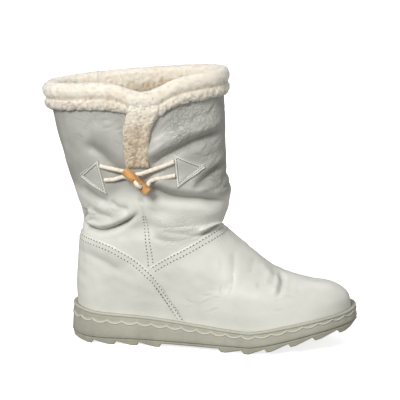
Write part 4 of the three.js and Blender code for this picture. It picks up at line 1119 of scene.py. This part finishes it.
def locks(name, place, normal, length, radius, seed, deep, lean=0.9):
    """Short curled locks of pile, each a bent, pointed three-sided strand."""
    source = np.random.default_rng(seed)
    count = len(place)
    tangent = source.normal(size=(count, 3))
    tangent = unit(tangent - normal * (tangent * normal).sum(1, keepdims=True))
    second = np.cross(normal, tangent) * source.choice([-1, 1], (count, 1))
    heading = unit(normal + tangent * lean * source.uniform(0.3, 1.2, (count, 1)) - [0, 0, 0.15])
    size = length * source.uniform(0.7, 1.3, (count, 1))
    girth = radius * source.uniform(0.75, 1.25, (count, 1))
    shares = np.array([0, 0.38, 0.72, 1.0])
    widths = np.array([1.0, 0.95, 0.7, 0.12])
    centres, path = [], place - normal * 0.4
    for k in range(len(shares)):
        centres.append(path)
        if k + 1 < len(shares):
            path = path + heading * size * (shares[k + 1] - shares[k])
            heading = unit(heading + second * 0.75 + tangent * 0.35 - normal * 0.28 * k)
    centres = np.stack(centres, 1)
    tangents = unit(np.gradient(centres, axis=1))
    side_a = unit(np.cross(tangents, second[:, None]))
    side_b = np.cross(tangents, side_a)
    turn = ring_angles(3)
    points = centres[:, :, None] + (widths[None, :, None] * girth[:, None])[..., None] * (
        np.cos(turn)[:, None] * side_a[:, :, None] + np.sin(turn)[:, None] * side_b[:, :, None]
    )
    # lighter from root to tip as painted shade at the roots, with a random spread of tone
    tone = np.clip(source.normal(0, 0.04, (count, 1, 1)) + shares[None, :, None] * 0.3 + 0.65, 0, 1)
    tone = np.broadcast_to(tone, points.shape[:3])
    depth = np.broadcast_to(deep[:, None, None], points.shape[:3])
    made = make_object(name, *repeated(points, [1]), fur, tip=tone, deep=depth)


def face_areas(grid, faces):
    a, b, c, d = (flat(grid)[faces[:, k]] for k in range(4))
    return np.linalg.norm(np.cross(c - a, d - b), axis=1) / 2


def scatter(grid, count, seed, closed=False, weight=None):
    """Random places over a grid of points, evenly by area, as shares of chosen faces."""
    source = np.random.default_rng(seed)
    faces = grid_faces(*grid.shape[:2], closed)
    area = face_areas(grid, faces)
    if weight is not None:
        area = area * weight.ravel()[faces[:, 0]]
    chosen = faces[source.choice(len(faces), count, p=area / area.sum())]
    u, v = source.uniform(size=(2, count, 1))

    def at(values):
        values = values.reshape(grid.shape[0] * grid.shape[1], -1)
        p = [values[chosen[:, k]] for k in range(4)]
        return mix(mix(p[0], p[1], u), mix(p[3], p[2], u), v)

    return at


def curls(grid, spacing, seed, closed=False):
    """Height of close-set curls over a grid of points: 1 on their tops, 0 or less between them."""
    area = face_areas(grid, grid_faces(*grid.shape[:2], closed)).sum()
    tops = scatter(grid, int(area / spacing**2), seed, closed)(grid)
    tree = kdtree.KDTree(len(tops))
    for k, top in enumerate(tops):
        tree.insert(top, k)
    tree.balance()
    points = flat(grid)
    warp = np.stack([waves(points, 1.6 * spacing, seed + k) for k in (1, 2, 3)], -1)
    away = np.array([tree.find(point)[2] for point in points + 0.35 * spacing * warp])
    return np.clip(1 - (away / (0.8 * spacing)) ** 2, -0.6, 1).reshape(grid.shape[:2])


PILE = 2.4


def cuff_sections(angle, edge, by_slit):
    """Outline of the folded fur at each angle, closed, from the hem up and over to the inside."""
    hem = CUFF_DROP + CUFF_SAG * by_slit
    full = FUR - PILE
    roll = full * (1 - 0.4 * by_slit)

    def point(drop, lift):
        drop, lift = np.broadcast_to(drop, angle.shape), np.broadcast_to(lift, angle.shape)
        up = up_to(lambda x: edge[:, 2], angle, np.maximum(drop, 0), 1.0, 2.0)
        p = upper_point(angle, up) + upper_normal(angle, up) * lift[:, None]
        p[:, 2] += np.maximum(0, -drop)
        return p

    groove = hem - ROLL_HEIGHT
    deep = -WALL - FUR_INSIDE
    return np.array([
        point(hem, 0.4), point(hem + 1, roll * 0.5), point(hem - 2, roll * 0.95), point(groove + 2.5, roll),
        point(groove, roll * 0.72), point(groove - 4, full * 1.1), point(0, full * 1.14),
        point(-FUR_TOP * 0.5, full * 0.85), point(-FUR_TOP + 1.5, full * 0.3), point(-FUR_TOP + 1.5, -WALL),
        point(-FUR_TOP * 0.5, deep * 0.85), point(2, deep), point(LINING_DROP, deep * 0.95),
        point(LINING_DROP + 2, -WALL - 1), point(LINING_DROP / 2, -WALL - 0.6), point(0, -WALL - 0.6),
        point(-1.2, -1.5), point(1, 0.6), point(hem / 2, 0.5),
    ])


def closed_curve(sections, at):
    """A closed Catmull-Rom curve through each section's points, at places counted in points."""
    first = at.astype(int)
    before, here, after, beyond = (sections[(first + k) % len(sections)] for k in (-1, 0, 1, 2))
    t = (at - first)[:, None, None]
    bend = (2 * before - 5 * here + 4 * after - beyond) * t**2
    bend = bend + (3 * here - before - 3 * after + beyond) * t**3
    return 0.5 * (2 * here + (after - before) * t + bend)


# Over a section's points: relief of the curls, and how deep the pile's tone is, painted shade darker at the
# hem, in the groove and inside
CUFF_RELIEF = [0.8, 0.85, 0.7, 0.4, 0.36, 0.26, 0.22, 0.22, 0.22, 0.25, 0.3, 0.4, 0.8, 0, 0, 0, 0, 0, 0.3]
CUFF_SHADE = [0.7, 0.4, 0.2, 0.25, 0.6, 0.12, 0.04, 0, 0, 0, 0, 0.1, 1, 1, 1, 1, 1, 1, 1]
CUFF_SHOWN = 12  # points of a section that are seen
CUFF_SPACING = 0.85  # between rows where the fur is seen
WELL_WIDTH = 34  # of the painted shade deepest opposite the slit


def outward_normals(grid, inside):
    """Normals of a grid that is closed both ways, away from what lies inside it."""
    normals = grid_normals(grid, True)
    sample = grid.shape[0] // 3
    if (normals[sample] * (grid[sample] - inside[sample])).sum() < 0:
        return -normals
    return normals


def make_cuff():
    """The folded fur: two soft rolls with a groove between them, and short locks along the hem."""
    angle = ring_angles(640)
    edge = upper_point(angle, 2.0)
    by_slit = np.where(np.sin(angle) > 0, hump(edge[:, 0], DIP_X, DIP_WIDTH / 2), 0)
    sections = cuff_sections(angle, edge, by_slit)
    spans = np.linalg.norm(np.roll(sections, -1, 0) - sections, axis=2).mean(axis=1)
    counts = [int(np.ceil(span / CUFF_SPACING)) if k < CUFF_SHOWN else 2 for k, span in enumerate(spans)]
    at = np.concatenate([k + np.arange(n) / n for k, n in enumerate(counts)])
    grid = closed_curve(sections, at)
    middles = np.broadcast_to(grid.mean(axis=0), grid.shape)
    normals = outward_normals(grid, middles)
    places = np.arange(len(CUFF_RELIEF) + 1)
    amount = np.interp(at, places, CUFF_RELIEF + CUFF_RELIEF[:1])[:, None]
    # painted shade: darker beige at the hem, in the groove and inside, and more by the slit
    deep = np.interp(at, places, CUFF_SHADE + CUFF_SHADE[:1])[:, None]
    deep = deep + 0.25 * by_slit[None] * (at[:, None] < 4.5)
    drop = edge[None, :, 2] - grid[..., 2]
    # painted shade inside the cuff, deeper down and deepest opposite the slit
    well_shade = smooth(2, 12, drop + 2 * waves(grid, 9, 20)) * (0.3 + 0.95 * hump(grid[..., 0], DIP_X, WELL_WIDTH))
    deep = np.where(at[:, None] > 9.5, np.maximum(0, well_shade), deep)
    deep = np.clip(deep + 0.08 * waves(grid, 14, 18), 0, 1)
    curl = curls(grid, 2.4, 11, True)
    rolling = 0.5 * waves(grid, 16, 12) + 0.45 * waves(grid, 6.5, 13)
    grid = grid + normals * (amount * (curl + rolling))[..., None]
    # lighter on the curls' tops and the rolls' highs, darker between them: painted shade
    tone = np.clip(0.55 + 0.35 * curl + 0.1 * rolling, 0, 1)
    faces = grid_faces(*grid.shape[:2], True, closed_rows=True)
    base = make_object("cuff_shearling", flat(grid), faces, fur, tip=tone, deep=deep)
    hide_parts("cuff")
    shown = at < CUFF_SHOWN
    facing = outward_normals(grid, middles)
    share = np.broadcast_to(np.where(at < 3, 3.0, 1.0)[:, None], grid.shape[:2])
    pick = scatter(grid[shown], 7000, 31, True, share[shown])
    locks("cuff_pile", pick(grid[shown]), unit(pick(facing[shown])), 1.5, 0.27, 32, pick(deep[shown])[:, 0])


def make_facing():
    """Fur facing down the slit: two curled halves with a crease between them."""
    rows, cols = 190, 50
    up = np.linspace(FACING[0, 0], FACING[-1, 0], rows)
    rear, front = follow(FACING, 1, up) * SOLE_LENGTH, follow(FACING, 2, up) * SOLE_LENGTH
    across = np.linspace(-1, 1, cols)
    x = mix(rear[:, None], front[:, None], (across[None] + 1) / 2)
    z = height_on_shaft(up)[:, None] + 0 * x
    angle, along = locate(x.ravel(), z.ravel())
    plain = upper_point(angle, along).reshape(rows, cols, 3)
    normal = upper_normal(angle, along).reshape(rows, cols, 3)
    side = np.sqrt(np.maximum(0, 1 - np.abs(across) ** 6))[None]
    foot = np.sqrt(np.clip((up - up[0]) / 0.02, 0, 1))[:, None]
    crown = np.sqrt(np.clip((up[-1] - up) / 0.05, 0, 1))[:, None]
    wander = 0.05 + 0.2 * np.sin(up * 21 + 1)[:, None]
    crease = hump(across[None], wander, 0.15) * smooth(0.78, 0.62, up)[:, None]
    lift = follow(FACING, 3, up)[:, None] * (0.25 + 0.75 * side) * (0.2 + 0.8 * foot) * (0.4 + 0.6 * crown)
    lift = lift - 1.1 * crease
    curl = curls(plain, 2.5, 15)
    rolling = 0.5 * waves(plain, 8, 16) + 0.3 * waves(plain, 3.6, 17)
    grid = plain + normal * (lift + 0.5 * curl + rolling)[..., None]
    grid[:, 0] = plain[:, 0] - normal[:, 0]
    grid[:, -1] = plain[:, -1] - normal[:, -1]
    grid[[0, -1]] = (plain - normal)[[0, -1]]
    # the lower facing's darker beige is its own; the crease's darker beige and lower tone, and the lower tone
    # between curls, are painted shade
    deep = np.clip(smooth(0.84, 0.6, up)[:, None] + 0.3 * crease + 0.06 * waves(grid, 12, 19), 0, 1)
    tone = np.clip(0.5 + 0.2 * curl - 0.25 * crease, 0, 1)
    base = make_object("facing_shearling", flat(grid), grid_faces(rows, cols), fur, tip=tone, deep=deep)
    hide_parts("cuff")
    pick = scatter(grid, 700, 33)
    normal, depth = unit(pick(grid_normals(grid))), pick(deep)[:, 0]
    locks("facing_pile", pick(grid), normal, 1.8, 0.26, 34, depth, lean=1.1)


make_cuff()
make_facing()


def make_lining():
    """Pile inside the shaft and the foot, down to the footbed."""
    angle = ring_angles(360)
    up = np.linspace(0.02, 1.86, 170)[:, None]
    plain = upper_point(angle[None], up)
    normal = upper_normal(angle[None] + 0 * up, up + 0 * angle[None])
    curl = curls(plain, 3.0, 41, True)
    pressed = np.minimum(0, relief(plain)[0] + 1)
    grid = plain - normal * (WALL + 2.6 - pressed + 0.5 * waves(plain, 9, 42) + 0.6 * curl)[..., None]
    faces = grid_faces(len(up), len(angle), True)[:, ::-1]
    # lighter on the curls' tops, darker between them, and darker beige all over: painted shade inside the
    # boot
    tone = np.clip(0.45 + 0.3 * curl, 0, 1)
    made = make_object("lining_pile", flat(grid), faces, fur, tip=tone, deep=0.85)


def make_footbed():
    """The pile-covered footbed, up to the inside of the upper."""
    inset = EDGE_INSET + WALL + 0.9
    xs = mix(inset, SOLE_LENGTH - inset, share_of(np.linspace(0.02, pi - 0.02, 200)))
    middle, half = plan_at(xs, inset)
    across = np.linspace(-1, 1, 70)
    y = middle[:, None] + half[:, None] * across[None]
    x = xs[:, None] + 0 * y
    z = rim_at(x) - CUP_DEPTH + INSOLE_THICKNESS + 0.8 - 0.6 * np.abs(across[None]) ** 6
    grid = np.stack([x, y, z], -1)
    curl = curls(grid, 3.0, 51)
    grid[..., 2] += 0.35 * waves(grid, 9, 52) + 0.5 * curl
    # lighter on the curls' tops, darker between them, and darker beige all over: painted shade inside the
    # boot
    tone = np.clip(0.5 + 0.3 * curl, 0, 1)
    faces = grid_faces(*grid.shape[:2])[:, ::-1]
    made = make_object("footbed_pile", flat(grid), faces, fur, tip=tone, deep=0.7)
    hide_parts("insole")


make_lining()
make_footbed()


# Sole

def sole_places(count):
    """Places round the whole sole that lie equally far apart along its edge, as x and side."""
    shares = share_of(np.linspace(0, pi, 4001))
    x = shares * SOLE_LENGTH
    _, half = plan_at(x, 0)
    lengths = lengths_along(np.column_stack([x, half]))
    at = np.linspace(0, lengths[-1], count // 2 + 1)
    share = np.interp(at, lengths, shares)
    side = np.concatenate([-np.ones(len(share)), np.ones(len(share) - 2)])
    return np.concatenate([share, share[-2:0:-1]]), side


def make_midsole():
    """The cup's side with its scalloped band and beads, and the platform inside."""
    waves_each_side = round(SOLE_LENGTH * 1.13 / 14.4)
    per_wave = 22
    half_way = waves_each_side * per_wave
    share, side = sole_places(2 * half_way)
    index = np.arange(len(share))
    along = np.where(index <= half_way, index, 2 * half_way - index)
    scallop = 2.6 * np.abs(np.sin(pi * (along % per_wave) / per_wave)) ** 0.8 - 1.3

    def ring(inset, level, offset):
        """Level 0 is the groove over the tread, 1 the scalloped line and 2 the rim."""
        inset = np.full(share.shape, float(inset))
        x = mix(inset, SOLE_LENGTH - inset, share)
        middle, half = plan_at(x, inset)
        line = rim_at(x) - 0.36 * wall_at(x) - scallop
        z = mix(groove_at(x), line, level) if level <= 1 else mix(line, rim_at(x), level - 1)
        return np.column_stack([x, middle + side * half, z + offset])

    inner = EDGE_INSET - CLEARANCE
    rows = [
        (GROOVE + 1.5, 0, 0.02), (GROOVE, 0, 0), (0.5, 0, 0.35), (0.12, 0, 1), (0.35, 0.35, 0),
        (0.75, 0.7, 0), (0.95, 1, -1.9), (1.15, 1, -1), (1.15, 1, -0.7), (0.8, 1, -0.5),
        (0.55, 1, -0.1), (0.5, 1, 0.35), (0.75, 1, 0.75), (1.2, 1, 1), (1.35, 1.4, -0.76),
        (1.6, 1.8, -2.52), (2, 2, -3.3), (2.05, 2, -2.95), (1.5, 2, -2.6), (1.15, 2, -1.9),
        (1.25, 2, -1.1), (1.7, 2, -0.4), (2.5, 2, -0.05), (3.4, 2, 0), (4.4, 2, -0.25),
        (5.4, 2, -0.6), (inner, 2, -1.6), (inner, 2, -CUP_DEPTH), (inner + 4, 2, -CUP_DEPTH),
    ]
    grid = np.array([ring(*row) for row in rows])
    # a painted highlight on the scalloped ridge and the rim bead
    pale = np.zeros(len(rows))
    pale[9:14] = (0.35, 0.8, 0.9, 0.8, 0.3)
    pale[18:22] = (0.25, 0.5, 0.5, 0.25)
    pale = np.broadcast_to(pale[:, None], grid.shape[:2])
    made = make_object("cup_sole", flat(grid), grid_faces(len(rows), len(share), True), rubber, pale=pale)
    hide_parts("midsole")


make_midsole()
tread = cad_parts["outsole"]
tread.data.materials.clear()
tread.data.materials.append(tread_rubber)
tread.data.shade_flat()


# Stage, light and camera

FLOOR_GLOW = 0.75
FLOOR_SIZE = 12  # half of it, in metres
CAMERA_PLACE = (0.2615, -1.5939, 0.5013)
CAMERA_TARGET = (0.0375, 0.0001, 0.1385)
CAMERA_LENS = 153.65


def make_sheet(name, height, colours):
    """A wide level sheet for the boot to stand on."""
    sheet = bpy.data.meshes.new(name)
    corners = [(x * FLOOR_SIZE, y * FLOOR_SIZE, height) for x, y in ((-1, -1), (1, -1), (1, 1), (-1, 1))]
    sheet.from_pydata(corners, [], [(0, 1, 2, 3)])
    made = link(name, sheet)
    m = Nodes(name, Roughness=0.9, Specular_IOR_Level=0.0)
    m.shade(Base_Color=m.blend(m.noise(1, 1), *(srgb(grey, grey, grey) for grey in colours)))
    sheet.materials.append(m.material)
    return made, m


def make_stage():
    """A white floor for the camera, and under it a grey one that gives back the light."""
    floor, m = make_sheet("floor", 0, (250, 253))
    m.shade(Emission_Color=(1, 1, 1, 1), Emission_Strength=FLOOR_GLOW)
    floor.visible_diffuse = floor.visible_glossy = False
    bounce, _ = make_sheet("floor_bounce", -0.001, (224, 230))
    bounce.visible_camera = False


def aim(name, data, place, target):
    made = link(name, data)
    made.location = place
    made.rotation_euler = (Vector(target) - Vector(place)).to_track_quat("-Z", "Y").to_euler()
    return made


def add_light(name, place, target, size, power):
    lamp = bpy.data.lights.new(name, "AREA")
    lamp.shape, lamp.size, lamp.energy = "DISK", size, power
    aim(name, lamp, place, target)


def make_camera():
    lens = bpy.data.cameras.new("camera")
    lens.lens, lens.sensor_width, lens.clip_end = CAMERA_LENS, 36, 20
    bpy.context.scene.camera = aim("camera", lens, CAMERA_PLACE, CAMERA_TARGET)


make_stage()
make_camera()
add_light("key", (-0.52, -1.5, 1.2), (0.03, 0, 0.12), 0.6, 30)
add_light("fill", (1.6, -1.4, 0.6), (0.03, 0, 0.1), 1.2, 7.5)
add_light("back", (0.2, 1.6, 1.6), (0.03, 0, 0.15), 1.2, 8)
world = bpy.data.worlds.new("studio")
world.use_nodes = True
world.node_tree.nodes["Background"].inputs["Color"].default_value = (1, 1, 1, 1)
world.node_tree.nodes["Background"].inputs["Strength"].default_value = 0.37
bpy.context.scene.world = world
bpy.context.scene.view_settings.view_transform = "Standard"
